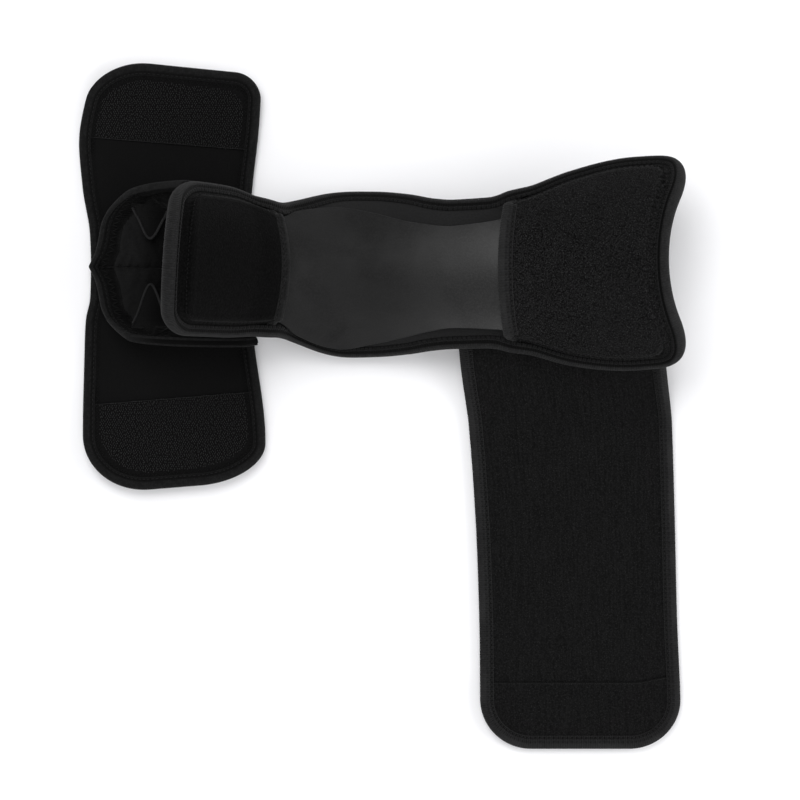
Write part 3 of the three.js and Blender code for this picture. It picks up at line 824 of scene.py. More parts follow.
def liner_lap_along(edge):
    """Lap of the liner's edge tape by length along the edge."""
    def at(s):
        run, across, run_step, across_step = edge.row(s)
        return liner_lap(run, across, across_step**2 / (run_step**2 + across_step**2))

    return at


def liner_tape_high(run, across):
    """Top of what the liner's edge tape takes in: the liner, a pocket where there is one, and a hump over
    each end of the pockets' mouth tapes."""
    toe = 1.0 - smooth(run, TOE_MOUTH + 1, TOE_MOUTH + 14)
    calf = smooth(run, CALF_MOUTH_SIDE - 14, CALF_MOUTH_SIDE - 1)
    ends = hump(run, TOE_MOUTH - 2, 11.0) + hump(run, CALF_MOUTH_SIDE + 3, 12.0)
    return (LAYER_GAP + POCKET_WALL + GAP) * np.maximum(toe, calf) + 1.1 * ends


def liner_top(run, across):
    """Upper face of the liner: a little sunk near its edge, and swollen where the edge tape rises to a
    pocket."""
    inset = liner_half(run) - np.abs(across)
    past_toe = smooth(run, TOE_MOUTH + 0.5, TOE_MOUTH + 3.5)
    between = past_toe * (1.0 - smooth(run, CALF_MOUTH_SIDE - 3.5, CALF_MOUTH_SIDE - 0.5))
    lap = liner_lap(run, across)
    swell = between * liner_tape_high(run, across) * (1.0 - smooth(inset, lap - 0.8, lap + 2.2))
    return swell - 0.15 - 0.5 * (1.0 - smooth(inset, 4.0, 9.0))


def liner_bottom(run, across):
    """Lower face of the liner: fuller away from its edges."""
    inset = liner_half(run) - np.abs(across)
    ends = np.minimum(run - TOE_END, CALF_END - run)
    return -LINER_WALL - 0.6 * smooth(np.minimum(inset, ends), 8.0, 20.0)


def wrap_surface(run, across):
    """Foot wrap: flat on the table in its middle, with ends that curl up as a square."""
    past = np.maximum(0.0, np.abs(run) - WRAP_FLAT_RUN) / WRAP_CURL_RUN
    run, across, z = np.broadcast_arrays(run, across, WRAP_LIFT + WRAP_CURL * past * past)
    return np.stack([across, WRAP_Y - run, z], -1)


def wrap_end(end, inset, v, sign):
    """One end of the wrap: a slanted line with large rounded corners."""
    left, right = ((end[side][0], end[side][1] - inset / 2) for side in ("left", "right"))
    draw = np.where(v < 0, corner_draw(v, left), corner_draw(v, right))
    return end["run"] + end["slant"] * v + sign * (inset + draw)


def wrap_tape_high(run, across):
    """Top of what the wrap's edge tape takes in: the wrap, and the ground of a hook field at either end."""
    upper = 1.0 - smooth(run, HOOK_UPPER - 1, HOOK_UPPER + 9)
    lower = smooth(run, HOOK_LOWER - 9, HOOK_LOWER + 1)
    return PANEL_WALL + (GAP + HOOK_GROUND) * np.maximum(upper, lower) + 0.0 * across


def wrap_sheet(inset, start=None, end=None):
    """The foot wrap, or a piece of it between two lines, drawn in by inset."""
    return Sheet(
        wrap_surface,
        start or (lambda v: wrap_end(WRAP_UPPER, inset, v, 1)),
        end or (lambda v: wrap_end(WRAP_LOWER, inset, v, -1)),
        lambda run: (wrap_left(run) + wrap_right(run)) / 2,
        lambda run: (wrap_right(run) - wrap_left(run)) / 2 - inset,
    )


def strap_surface(run, share):
    """Calf strap: a cubic fall from the seam inside the liner's lower edge to the table, then flat."""
    run, share = np.broadcast_arrays(np.asarray(run, float), np.asarray(share, float))
    x = mix(strap_left(run), strap_right(run), (share + 1) / 2)
    liner = liner_sheet()
    seam_run = mix(*STRAP_SEAM, (share + 1) / 2)
    seam_across = STRAP_SEAM_INSET - liner_half(seam_run)
    seam = liner.at(seam_run, seam_across, -STRAP_UNDER_LINER)
    outward = unit(liner.slopes(seam_run, seam_across)[1])
    landing = np.stack([x, np.full_like(x, STRAP_LANDING_Y), np.full_like(x, STRAP_LIFT)], -1)
    first, last, out, into = cubic_weights(np.clip(run / STRAP_DROP_RUN, None, 1.0)[..., None])
    fall = seam * first + landing * last
    fall = fall - outward * STRAP_PULL * out
    fall = fall + np.array((0.0, -1.0, 0.0)) * STRAP_DROP_RUN * into
    flat = np.stack([x, STRAP_LANDING_Y - (run - STRAP_DROP_RUN), np.full_like(x, STRAP_LIFT)], -1)
    return np.where((run >= STRAP_DROP_RUN)[..., None], flat, fall)


def strap_sheet(start, inset):
    """The calf strap from a line to its rounded end, drawn in by inset."""
    corner = (STRAP_CORNER[0], STRAP_CORNER[1] - inset / 2)
    return Sheet(
        strap_surface,
        start,
        lambda v: STRAP_END - inset - corner_draw(v, corner),
        none,
        lambda run: 1.0 - 2.0 * inset / (strap_right(run) - strap_left(run)),
        steps=(0.05, 0.001),
        cloth=(1.0, 62.0),
    )


def strap_tape_high(run, across):
    """Top of what the strap's edge tape takes in: the strap, and its end panel."""
    return PANEL_WALL + smooth(run, STRAP_PATCH_RUN - 7, STRAP_PATCH_RUN + 1) + 0.0 * across


def strap_patch_line(v):
    """Line where the strap's end panel begins: straight, and drawn back towards the liner at one end."""
    return STRAP_PATCH_RUN - STRAP_PATCH_DRAW * smooth(v, 0.6, 1.0)


def sling_side(pair, across):
    """The upper or lower value of a pair, by the side of the seam."""
    return np.where(across > 0, *pair)


def sling_edges(across):
    """Front rim and heel edge of the sling. The rim is half an ellipse in plan, pinched at the seam, and
    draws back along the side walls by a power of the height."""
    away = np.abs(across)
    angle = away * np.pi / 2
    side = np.sin(angle) ** SLING_SQUARE
    flat = np.sign(np.cos(angle)) * np.sqrt(np.maximum(0.0, 1.0 - side * side))
    near = np.clip(side / 0.25, 0.0, 1.0)
    pinch = SLING_PINCH * (1.5 * near - 0.5 * near**3) * (1.0 - smooth(side, 0.3, 0.75))
    up = np.maximum(0.0, away - SLING_SIDE_FROM) / (1.0 - SLING_SIDE_FROM)
    back = (sling_side(SLING_RIM_TOP, across) - SLING_TIP - SLING_NOSE) * up**1.6
    rim = SLING_TIP + pinch + SLING_NOSE * (1.0 - flat) + back
    return rim, mix(SLING_HEEL_FLOOR, sling_side(SLING_HEEL_TOP, across), away * away)


def sling_surface(run, across):
    """Sling: a rounded square U across the foot, from its front rim, run 0, to its heel edge, run 1."""
    run, across = np.broadcast_arrays(np.asarray(run, float), np.asarray(across, float))
    angle = across * np.pi / 2
    away = np.abs(across)
    rim, heel = sling_edges(across)
    side = np.sign(across) * np.abs(np.sin(angle)) ** SLING_SQUARE
    rise = 1.0 - np.maximum(0.0, np.cos(angle)) ** SLING_SQUARE
    puff = SLING_PUFF * np.sin(np.minimum(1.0, away * 2.4) * np.pi)
    y = mix(*SLING_Y, run) + mix(SLING_FRONT_WIDTH, sling_side(SLING_HEEL_WIDTH, across), run) * side
    return np.stack([mix(rim, heel, run), y, SLING_FLOOR + mix(*SLING_HEIGHT, run) * rise + puff], -1)


def sling_sheet(side):
    """One half of the sling, from its middle seam to its top."""
    return Sheet(
        sling_surface,
        none,
        lambda v: 1.0 + 0 * v,
        lambda run: side * (1.0 + SLING_SEAM) / 2,
        lambda run: side * (1.0 - SLING_SEAM) / 2,
        steps=(0.05, 0.0005),
        cloth=(95.0, 75.0),
        turn=side,
    )


def sling_grid(rows, cols):
    """Even run shares, and width shares that crowd towards the seam and the top as the values of a sine
    do."""
    return np.linspace(0, 1, rows), np.sin(np.linspace(-np.pi / 2, np.pi / 2, cols))


def sling_inset(run, across):
    """Distance in from the sling's front rim: the run from it, times the share of that which is square to the
    rim."""
    rim, heel = sling_edges(across)
    along = sling_surface(0 * run, across + 0.002) - sling_surface(0 * run, across - 0.002)
    return run * (heel - rim) * np.hypot(along[..., 1], along[..., 2]) / np.linalg.norm(along, axis=-1)


def sling_lift(run, across):
    """Inner face of the sling: pinched down at its seam, with a sunk, ribbed hem band behind its front rim
    and a lining that swells up behind that band."""
    inset = sling_inset(run, across)
    away = SLING_FRONT_WIDTH * np.abs(np.sin(across * np.pi / 2)) ** SLING_SQUARE
    ribs = 0.5 * np.sin(across * 2 * np.pi * SLING_RIBS) * hump(inset, SLING_ZIGZAG_INSET, 4.4)
    step = 1.4 * smooth(inset, SLING_HEM - 1.5, SLING_HEM + 2.5) - 0.3 * hump(inset, SLING_HEM - 1.5, 2.0)
    return ribs + step - 1.4 * (1.0 - smooth(away, 0.0, 4.0))


def tab_sheet(side):
    """Lining tab: a tongue with straight slanted sides and a small round tip, which is a hyperbola. It
    leaves the sling's side wall and curls over its floor as a square."""
    sling = sling_sheet(side)

    def tongue(run, across):
        away = TAB_BASE - run * (TAB_BASE - sling_side(TAB_REACH, side))
        rim, heel = sling_edges(side * away)
        share = (TAB_X + side * across - rim) / (heel - rim)
        return sling.at(share, side * away, 2 * GAP + TAB_CURL * run * run)

    def tip(v):
        return 1.0 - TAB_TAPER * (np.sqrt(v * v + TAB_TIP) - TAB_TIP_ROOT) / TAB_TIP_RISE

    half = lambda run: TAB_HALF + 0 * run
    return Sheet(tongue, none, tip, none, half, steps=(0.02, 0.05), cloth=(30.0, 1.0))


def tab_lower(run, across):
    """Lower face of a tab, sunk into the lining at its base."""
    return -0.6 * (1.0 - smooth(run, 0.0, 0.3)) + 0.0 * across


def tab_upper(run, across):
    """Upper face of a tab, sunk into the lining at its base."""
    return TAB_WALL - (TAB_WALL + 0.4) * (1.0 - smooth(run, 0.0, 0.3)) + 0.0 * across


def settle(points, turn, held, frames, cap):
    """Puff a grid of cloth with the cloth solver: held where held is true, slightly too large for its frame,
    under a light pressure and without weight. No point moves by more than cap."""
    rows, cols = points.shape[:2]
    scale = SOLVER_SIZE * MM
    faces = grid_quads(rows, cols)[:, ::turn]
    mesh = bpy.data.meshes.new("settling_cloth")
    mesh.from_pydata((points.reshape(-1, 3) * scale).tolist(), [], faces.tolist())
    obj = bpy.data.objects.new("settling_cloth", mesh)
    scene = bpy.context.scene
    scene.collection.objects.link(obj)
    group = obj.vertex_groups.new(name="held")
    group.add(np.flatnonzero(held).tolist(), 1.0, "REPLACE")
    cloth = obj.modifiers.new("settle", "CLOTH").settings
    for key, value in SOLVER.items():
        setattr(cloth, key, value)
    cloth.effector_weights.gravity = 0.0
    for number in range(1, frames + 1):
        scene.frame_set(number)
    puffed = obj.evaluated_get(bpy.context.evaluated_depsgraph_get()).data
    places = np.empty(len(puffed.vertices) * 3, np.float32)
    puffed.vertices.foreach_get("co", places)
    bpy.data.objects.remove(obj)
    bpy.data.meshes.remove(mesh)
    scene.frame_set(1)
    shift = places.reshape(points.shape) / scale - points
    if not np.isfinite(shift).all():
        raise RuntimeError("The cloth did not settle")
    length = np.linalg.norm(shift, axis=-1, keepdims=True)
    return shift * np.minimum(1.0, cap / np.maximum(length, 1e-9))


def finer(values, old, new):
    """Values on a coarse grid, read on a finer one by straight lines along each way in turn."""
    rows = np.array([np.interp(new[0], old[0], line) for line in values.reshape(len(old[0]), -1).T]).T
    rows = rows.reshape(len(new[0]), len(old[1]), -1).swapaxes(0, 1)
    cols = np.array([np.interp(new[1], old[1], line) for line in rows.reshape(len(old[1]), -1).T]).T
    return cols.reshape(len(new[1]), len(new[0]), -1).swapaxes(0, 1)


# Finishes

class Term:
    """A shader socket in arithmetic: each operator adds one Math node."""

    def __init__(self, finish, socket):
        self.finish = finish
        self.socket = socket

    def math(self, operation, *terms):
        """A Math node on terms or numbers."""
        return self.finish.node("ShaderNodeMath", {"operation": operation}, dict(enumerate(terms)))

    def __add__(self, other):
        return self.math("ADD", self, other)

    def __sub__(self, other):
        return self.math("SUBTRACT", self, other)

    def __rsub__(self, other):
        return self.math("SUBTRACT", other, self)

    def __mul__(self, other):
        return self.math("MULTIPLY", self, other)

    def __truediv__(self, other):
        return self.math("DIVIDE", self, other)

    def __rtruediv__(self, other):
        return self.math("DIVIDE", other, self)

    __radd__ = __add__
    __rmul__ = __mul__

    def wave(self, length):
        """Sine wave of a length, from 0 to 1."""
        return self.math("SINE", self * (2 * math.pi / length)) * 0.5 + 0.5

    def near(self, middle, reach, edge):
        """1 within reach of a middle value, easing to 0 at edge."""
        return 1.0 - self.math("ABSOLUTE", self - middle).step(reach, edge)

    def beat(self, length):
        """Place within each stretch of a length, from 0 to 1."""
        return self.math("FRACT", self / length)

    def step(self, low, high):
        """Eased step from 0 at low to 1 at high."""
        settings = {"interpolation_type": "SMOOTHSTEP"}
        inputs = {"Value": self, "From Min": low, "From Max": high}
        return self.finish.node("ShaderNodeMapRange", settings, inputs)


class Finish:
    """One material: a Principled shader whose varying sockets are fed by node expressions."""

    def __init__(self, name, **constants):
        self.material = bpy.data.materials.new(name)
        self.material.use_nodes = True
        self.tree = self.material.node_tree
        self.shader = next(n for n in self.tree.nodes if n.type == "BSDF_PRINCIPLED")
        for key, value in constants.items():
            self.shader.inputs[key.replace("_", " ")].default_value = value

    def node(self, kind, settings=None, inputs=None, output=0):
        """Add a node of any kind: its settings first, then the values or links of its sockets."""
        node = self.tree.nodes.new(kind)
        for key, value in (settings or {}).items():
            setattr(node, key, value)
        for key, value in (inputs or {}).items():
            if isinstance(value, Term):
                self.tree.links.new(value.socket, node.inputs[key])
            else:
                node.inputs[key].default_value = value
        return Term(self, node.outputs[output])

    def cloth(self):
        """The piece's cloth coordinates, in metres."""
        return self.node("ShaderNodeUVMap", {"uv_map": "Cloth"})

    def place(self):
        """Object coordinates, in metres."""
        return self.node("ShaderNodeTexCoord", output="Object")

    def parts(self, vector):
        """The three parts of a vector."""
        first = self.node("ShaderNodeSeparateXYZ", inputs={0: vector})
        return [Term(self, socket) for socket in first.socket.node.outputs]

    def stretched(self, vector, scale, turn=0.0):
        """A vector scaled along its axes, and turned about Z."""
        inputs = {"Vector": vector, "Scale": scale, "Rotation": (0, 0, turn)}
        return self.node("ShaderNodeMapping", inputs=inputs)

    def noise(self, vector, scale, detail=2.0, roughness=0.5):
        """Soft noise about 0.5."""
        inputs = {"Vector": vector, "Scale": scale, "Detail": detail, "Roughness": roughness}
        return self.node("ShaderNodeTexNoise", inputs=inputs)

    def cells(self, vector, scale):
        """Distance to the nearest of many scattered points, from 0 at a point."""
        return self.node("ShaderNodeTexVoronoi", inputs={"Vector": vector, "Scale": scale})

    def blend(self, factor, first, second, how="MIX"):
        """Colours first and second mixed by factor."""
        settings = {"data_type": "RGBA", "blend_type": how, "clamp_factor": True}
        return self.node("ShaderNodeMix", settings, {0: factor, 6: first, 7: second}, output=2)

    def feed(self, socket, term):
        """Link a term to one of the shader's varying sockets."""
        self.tree.links.new(term.socket, self.shader.inputs[socket])

    def relief(self, height, depth):
        """Bump of a height from 0 to 1, depth metres deep, on the shader's normal."""
        inputs = {"Height": height, "Distance": depth, "Strength": 1.0}
        self.feed("Normal", self.node("ShaderNodeBump", inputs=inputs))


def shade(colour, factor):
    """A colour times a number, with its alpha."""
    return tuple(min(1.0, x * factor) for x in colour[:3]) + (1.0,)


def plastic_finish(colour):
    """Satin moulded plastic: a sandy mould grain, slow changes of tone, faint rubs, and a face that is matt
    over the foot and rubbed to a low gloss along the shin. Its base colour carries a painted highlight:
    darker over the foot and lighter along the shin."""
    f = Finish("satin_moulded_plastic", IOR=1.46, Specular_IOR_Level=0.2, Coat_Roughness=0.42)
    place = f.place()
    x, _, _ = f.parts(place)
    polish_and_painted_highlight = x.step(-0.01, 0.095)
    cloud = f.noise(place, 24.0, 3.0, 0.6).step(0.35, 0.65)
    grain = f.noise(place, 850.0, 2.0, 0.75)
    rubs = f.noise(f.stretched(place, (60.0, 900.0, 500.0), 0.2), 1.0, 2.0).step(0.6, 0.78)
    tone = f.blend(cloud, shade(colour, 0.7), shade(colour, 1.35))
    tone = f.blend(grain.step(0.4, 0.66) * 0.7, tone, shade(colour, 1.9))
    tone = f.blend(rubs * 0.25, tone, shade(colour, 1.7))
    # Painted highlight: the base colour is darkened over the foot and left lighter along the shin
    f.feed("Base Color", f.blend(0.75 - polish_and_painted_highlight * 0.75, tone, shade((1.0, 1.0, 1.0), 0.3), "MULTIPLY"))
    f.feed("Roughness", 0.66 - polish_and_painted_highlight * 0.26 + cloud * 0.06 + grain * 0.08 - rubs * 0.05)
    f.feed("Coat Weight", polish_and_painted_highlight * 0.27 + cloud * 0.07)
    f.relief(grain, 0.00022)
    return f.material


def pile_finish(name, colour, clump, contrast, depth, streak=0.0):
    """Brushed loop cloth: a felted mass of fine loops, with clumps and streaks along the run where it was
    brushed. Its colour carries painted light: painted shade in the low pinholes, the high fibres painted lit,
    and painted glints on the fibre tips."""
    f = Finish(name, Specular_IOR_Level=0.05, Sheen_Weight=0.03, Sheen_Roughness=0.5)
    cloth = f.cloth()
    fibre = f.noise(f.stretched(cloth, (1.0, 0.8, 1.0)), 1050.0 / clump, 2.0, 0.7)
    clumps = f.noise(cloth, 420.0 / clump, 2.0, 0.6)
    loops = f.cells(cloth, 800.0 / clump)
    brushed = f.noise(f.stretched(cloth, (40.0, 760.0, 1.0)), 1.0, 2.0, 0.6)
    patches = f.noise(f.place(), 40.0, 2.0)
    height = fibre * (0.8 - streak) + clumps * 0.12 + (1.0 - loops) * 0.3 + brushed * streak
    # Painted light and shade: the high fibres are painted lit, and the low pinholes are left in painted shade
    painted_lit = height.step(0.44, 0.78)
    darkest, dark = (shade(colour, 1.0 - contrast * share) for share in (1.0, 0.75))
    base = f.blend(patches.step(0.3, 0.7), darkest, dark)
    base = f.blend(painted_lit, base, shade(colour, 1.0 + contrast * 1.2))
    # Painted glints on the fibre tips
    painted_glints = (1.0 - loops.step(0.1, 0.4)) * fibre.step(0.5, 0.62)
    f.feed("Base Color", f.blend(painted_glints * contrast, base, shade(colour, 6.5)))
    f.feed("Roughness", 0.95 - painted_lit * 0.08)
    f.relief(height, depth)
    return f.material


def knit_finish(name, colour, pitch, depth, mottle, deep=0.0):
    """Smooth knitted face: fine wales and courses, a soft mottle and slow changes of tone. deep is the share
    of painted shadow by which it darkens away from the sling's front rim, towards the toe pocket."""
    f = Finish(name, Specular_IOR_Level=0.06, Sheen_Weight=0.03, Sheen_Roughness=0.5)
    cloth = f.cloth()
    x, y, _ = f.parts(cloth)
    wales = x.wave(pitch * MM) * y.wave(pitch * MM * 1.25)
    fuzz = f.noise(cloth, 760.0, 3.0, 0.65)
    patches = f.noise(f.place(), 32.0, 3.0)
    height = wales * 0.5 + fuzz * 0.6
    tone = f.blend(patches.step(0.3, 0.72), shade(colour, 0.84), shade(colour, 1.16))
    tone = f.blend(fuzz.step(0.3, 0.7), shade(colour, 1.0 - mottle), tone)
    tone = f.blend(wales * 0.4, tone, shade(colour, 1.0 + mottle))
    # Painted shadow: darker away from the sling's front rim, under the toe pocket
    if deep:
        x, _, _ = f.parts(f.place())
        tone = f.blend(x.step(-0.156, -0.134) * deep, tone, shade(colour, 0.1))
    f.feed("Base Color", tone)
    f.feed("Roughness", 0.88 + fuzz * 0.1)
    f.relief(height, depth)
    return f.material


def tape_finish(name, colour, pitch, mottle, painted_band_shade, rows, crease=0.0):
    """Folded edge tape: cross ribs, half a stitch apart, and a fuzzy, blotched face. It is paler on the roll
    of the edge, where it rubs, towards the calf, and darker on its pressed band by the share given after
    mottle, painted shade of the groove there. Each of rows is a sewn line, as its place across the tape and
    its strength: a dark dent with a needle hole at every pitch. crease is the strength of the shadow line at
    the foot of the roll."""
    f = Finish(name, Specular_IOR_Level=0.08, Sheen_Weight=0.04, Sheen_Roughness=0.5)
    cloth = f.cloth()
    x, y, _ = f.parts(cloth)
    ribs = x.wave(pitch * MM / 2)
    fuzz = f.noise(cloth, 900.0, 3.0, 0.65)
    blots = f.noise(cloth, 340.0, 2.0, 0.6)
    along, _, _ = f.parts(f.place())
    patches = f.noise(f.place(), 50.0, 3.0)
    roll = y.step(0.0035, 0.006) * (1.0 - y.step(0.010, 0.013))
    worn = roll * patches.step(0.35, 0.7) * along.step(-0.14, -0.02)
    dark, pale = shade(colour, 1.0 - mottle * 0.7), shade(colour, 1.0 + mottle * 0.6)
    tone = f.blend(fuzz.step(0.28, 0.72), dark, pale)
    tone = f.blend(ribs * (0.75 - 0.75 * mottle), tone, shade(colour, 0.36))
    tone = f.blend(blots.step(0.42, 0.64) * mottle, tone, shade(colour, 0.4))
    tone = f.blend(worn * 0.4, tone, shade(colour, 1.7))
    band = 1.0 - y.step(TAPE_PRESS * 0.8 * MM, TAPE_PRESS * 1.3 * MM)
    # Painted shade of the groove on the pressed band
    tone = f.blend(band * (1.1 - fuzz * 0.5) * painted_band_shade, tone, shade(colour, 0.2))
    hole = x.beat(pitch * MM).near(0.5, 0.3, 0.42)
    lines = [y.near(place * MM, 0.0004, 0.001) * strength for place, strength in rows]
    sewn = sum(lines[1:], lines[0]) * (1.0 - hole * 0.6)
    tone = f.blend(y.near(TAPE_CREASE * MM, 0.0005, 0.0012) * crease, tone, shade(colour, 0.06))
    f.feed("Base Color", f.blend(sewn, tone, shade(colour, 0.1)))
    f.feed("Roughness", 0.86 + fuzz * 0.1)
    f.relief(ribs * (0.9 - mottle) + fuzz * 0.6 - sewn * 1.2, 0.0004)
    return f.material


def hook_finish(name, colour, gloss):
    """Hook tape: woven ground in rows, or the nylon hooks that stand on it."""
    f = Finish(name, Specular_IOR_Level=gloss)
    cloth = f.cloth()
    x, y, _ = f.parts(cloth)
    rows = (x + y).wave(0.0021)
    fuzz = f.noise(cloth, 700.0, 3.0, 0.6)
    tone = f.blend(fuzz.step(0.3, 0.7), shade(colour, 0.5), shade(colour, 1.5))
    f.feed("Base Color", f.blend(rows * 0.4, tone, shade(colour, 0.4)))
    f.feed("Roughness", 0.6 + fuzz * 0.2)
    f.relief(rows * 0.6 + fuzz * 0.5, 0.00015)
    return f.material


def thread_finish(name, colour):
    """Twisted sewing thread: slanted strands with a soft gloss."""
    f = Finish(name, Specular_IOR_Level=0.12)
    x, y, _ = f.parts(f.cloth())
    twist = (x * 2.0 + y).wave(0.0009)
    f.feed("Base Color", f.blend(twist, shade(colour, 0.7), shade(colour, 1.3)))
    f.feed("Roughness", 0.65 + twist * 0.15)
    f.relief(twist, 0.00004)
    return f.material


def floor_finish(colour):
    """Pale matt table top with a barely uneven tone."""
    f = Finish("pale_table", Specular_IOR_Level=0.1)
    cloud = f.noise(f.place(), 3.0, 2.0)
    f.feed("Base Color", f.blend(cloud.step(0.3, 0.7), shade(colour, 0.99), shade(colour, 1.0)))
    f.feed("Roughness", 0.85 + cloud * 0.05)
    return f.material


MADE = {}


def finishes():
    """The finishes in use, made once."""
    if MADE:
        return MADE
    colours = bpy.context.scene.night_splint.colours
    pitch = sizes()["stitch_pitch"]
    dim_tape, pale_tape, soft_tape = (shade(colours.tape, factor) for factor in (0.75, 1.12, 0.56))
    MADE.update(
        plastic=plastic_finish(colours.shell),
        toe=pile_finish("toe_pocket_pile", shade(colours.loop, 0.12), 0.9, 1.0, 0.0004),
        calf=pile_finish("calf_pocket_pile", colours.loop, 0.7, 1.0, 0.0006),
        strap=pile_finish("brushed_strap_cloth", colours.strap, 0.8, 0.45, 0.0002, 0.35),
        liner=knit_finish("liner_knit", colours.liner, 0.9, 0.00015, 0.35),
        wrap=knit_finish("wrap_knit", colours.wrap, 0.8, 0.0001, 0.3),
        # The sling's hem band is the lining's colour darkened: painted shade of its sunk band
        hem=knit_finish("sling_hem_knit", shade(colours.lining, 0.4), 1.3, 0.0003, 0.6),
        # The lining's last number is the share of its painted shadow away from the sling's front rim
        lining=knit_finish("sling_lining_knit", colours.lining, 0.8, 0.00012, 0.35, 0.92),
        tape=tape_finish("ribbed_edge_tape", colours.tape, pitch, 0.45, 0.3, [(0.5, 1.0)], 1.0),
        twin_tape=tape_finish("twin_stitched_tape", pale_tape, pitch, 0.4, 0.1, [(1.5, 0.9), (4.6, 0.5)]),
        mouth_tape=tape_finish("mouth_tape", dim_tape, pitch, 0.7, 0.1, [(1.5, 0.8), (3.9, 0.3)]),
        soft_tape=tape_finish("soft_edge_tape", soft_tape, pitch, 0.7, 0.35, [(1.5, 0.4)], 0.5),
        hook_ground=hook_finish("hook_ground", colours.hook, 0.05),
        hooks=hook_finish("nylon_hooks", colours.hook_tip, 0.3),
        thread=thread_finish("sewing_thread", colours.thread),
        dark_thread=thread_finish("dark_sewing_thread", colours.dark_thread),
        dim_thread=thread_finish("dim_sewing_thread", shade(colours.thread, 0.55)),
        piping=knit_finish("lining_piping", shade(colours.thread, 1.7), 0.7, 0.0001, 0.3),
    )
    return MADE


# Settings

def length_setting(name, description, default):
    """A length in metres."""
    return FloatProperty(
        name=name, description=description, default=default, min=0.0, unit="LENGTH", precision=5
    )


def colour_setting(name, description, grey):
    """A grey with a trace of blue."""
    default = (grey, grey, grey * 1.02, 1.0)
    return FloatVectorProperty(
        name=name, description=description, default=default, size=4, subtype="COLOR", min=0, max=1
    )


class SplintSizes(PropertyGroup):
    """Sizes of the sewn details"""

    stitch_pitch: length_setting("Stitch pitch", "Length from one stitch to the next", 0.0029)
    stitch_length: length_setting("Stitch length", "Length of one stitch", 0.0021)
    thread_radius: length_setting("Thread radius", "Half the thickness of the sewing thread", 0.0003)
    strap_lap: length_setting("Strap tape lap", "How far the strap's edge tape laps onto it", 0.0074)
    wrap_lap: length_setting("Wrap tape lap", "How far the foot wrap's edge tape laps onto it", 0.0064)
    hook_pitch: length_setting("Hook pitch", "Distance between rows of hooks", 0.0015)
    hook_height: length_setting("Hook height", "Height of a hook above its ground", 0.001)
    hook_inset: length_setting("Hook field inset", "Distance of the hooks from the wrap's edge", 0.0094)
    slack: length_setting("Lining slack", "Most that the sling's lining may puff out", 0.0045)
    settle_frames: IntProperty(
        name="Settling frames", description="Steps of the cloth settling", default=20, min=1
    )


class SplintColours(PropertyGroup):
    """Colours of the finishes"""

    shell: colour_setting("Shell", "Satin plastic of the shell", 0.0105)
    loop: colour_setting("Pockets", "Loop cloth of the pockets", 0.0052)
    strap: colour_setting("Strap", "Brushed cloth of the calf strap", 0.0045)
    liner: colour_setting("Liner", "Knitted face of the liner", 0.0135)
    wrap: colour_setting("Wrap", "Smooth face of the foot wrap", 0.0036)
    lining: colour_setting("Lining", "Lining of the sling", 0.0075)
    tape: colour_setting("Edge tape", "Folded tape on every edge", 0.0138)
    hook: colour_setting("Hook ground", "Ground of the hook fields", 0.0032)
    hook_tip: colour_setting("Hooks", "Nylon of the hooks", 0.022)
    thread: colour_setting("Thread", "Sewing thread of the tapes", 0.0095)
    dark_thread: colour_setting("Dark thread", "Sewing thread of the hems", 0.0014)
    floor: colour_setting("Table", "Pale table top", 0.92)


class SplintSettings(PropertyGroup):
    """Settings of the night splint"""

    sizes: PointerProperty(type=SplintSizes, name="Sizes", description="Sizes of the sewn details")
    colours: PointerProperty(type=SplintColours, name="Colours", description="Colours of the finishes")


def sizes():
    """The length settings, in millimetres."""
    given = bpy.context.scene.night_splint.sizes
    keys = [key for key, kind in given.bl_rna.properties.items() if kind.type == "FLOAT"]
    return {key: getattr(given, key) / MM for key in keys}


# Pieces

class SPLINT_OT_shell(Operator):
    """Make the rigid bent shell with its rounded rim"""

    bl_idname = "splint.shell"
    bl_label = "Shell"

    def execute(self, context):
        piece = Piece()
        rim = SHELL_WALL / 4
        top = level(LAYER_GAP + SHELL_WALL)
        add_wall(piece, shell_sheet(rim), *grid("shell"), level(LAYER_GAP), top, rim, 5)
        piece.make("splint_shell", ["plastic"], "shell_plastic", "shell")
        return {"FINISHED"}


class SPLINT_OT_liner(Operator):
    """Make the padded liner and the stitched tape round its edge"""

    bl_idname = "splint.liner"
    bl_label = "Liner"

    def execute(self, context):
        piece = Piece()
        add_wall(piece, liner_sheet(LINER_TUCK), *grid("liner"), liner_bottom, liner_top, SOFT_RIM)
        pad = piece.make("liner_pad", ["liner"], "liner_foam", "liner")

        piece = Piece()
        edge = liner_edge()
        laps = liner_lap_along(edge)
        sewn_tape(piece, edge, level(-LINER_WALL), liner_tape_high, LINER_TAPE, LINER_ROLL, wide=laps)
        piece.make("liner_edge_tape", ["tape", "thread"], "edge_tape", "liner_binding")
        return {"FINISHED"}


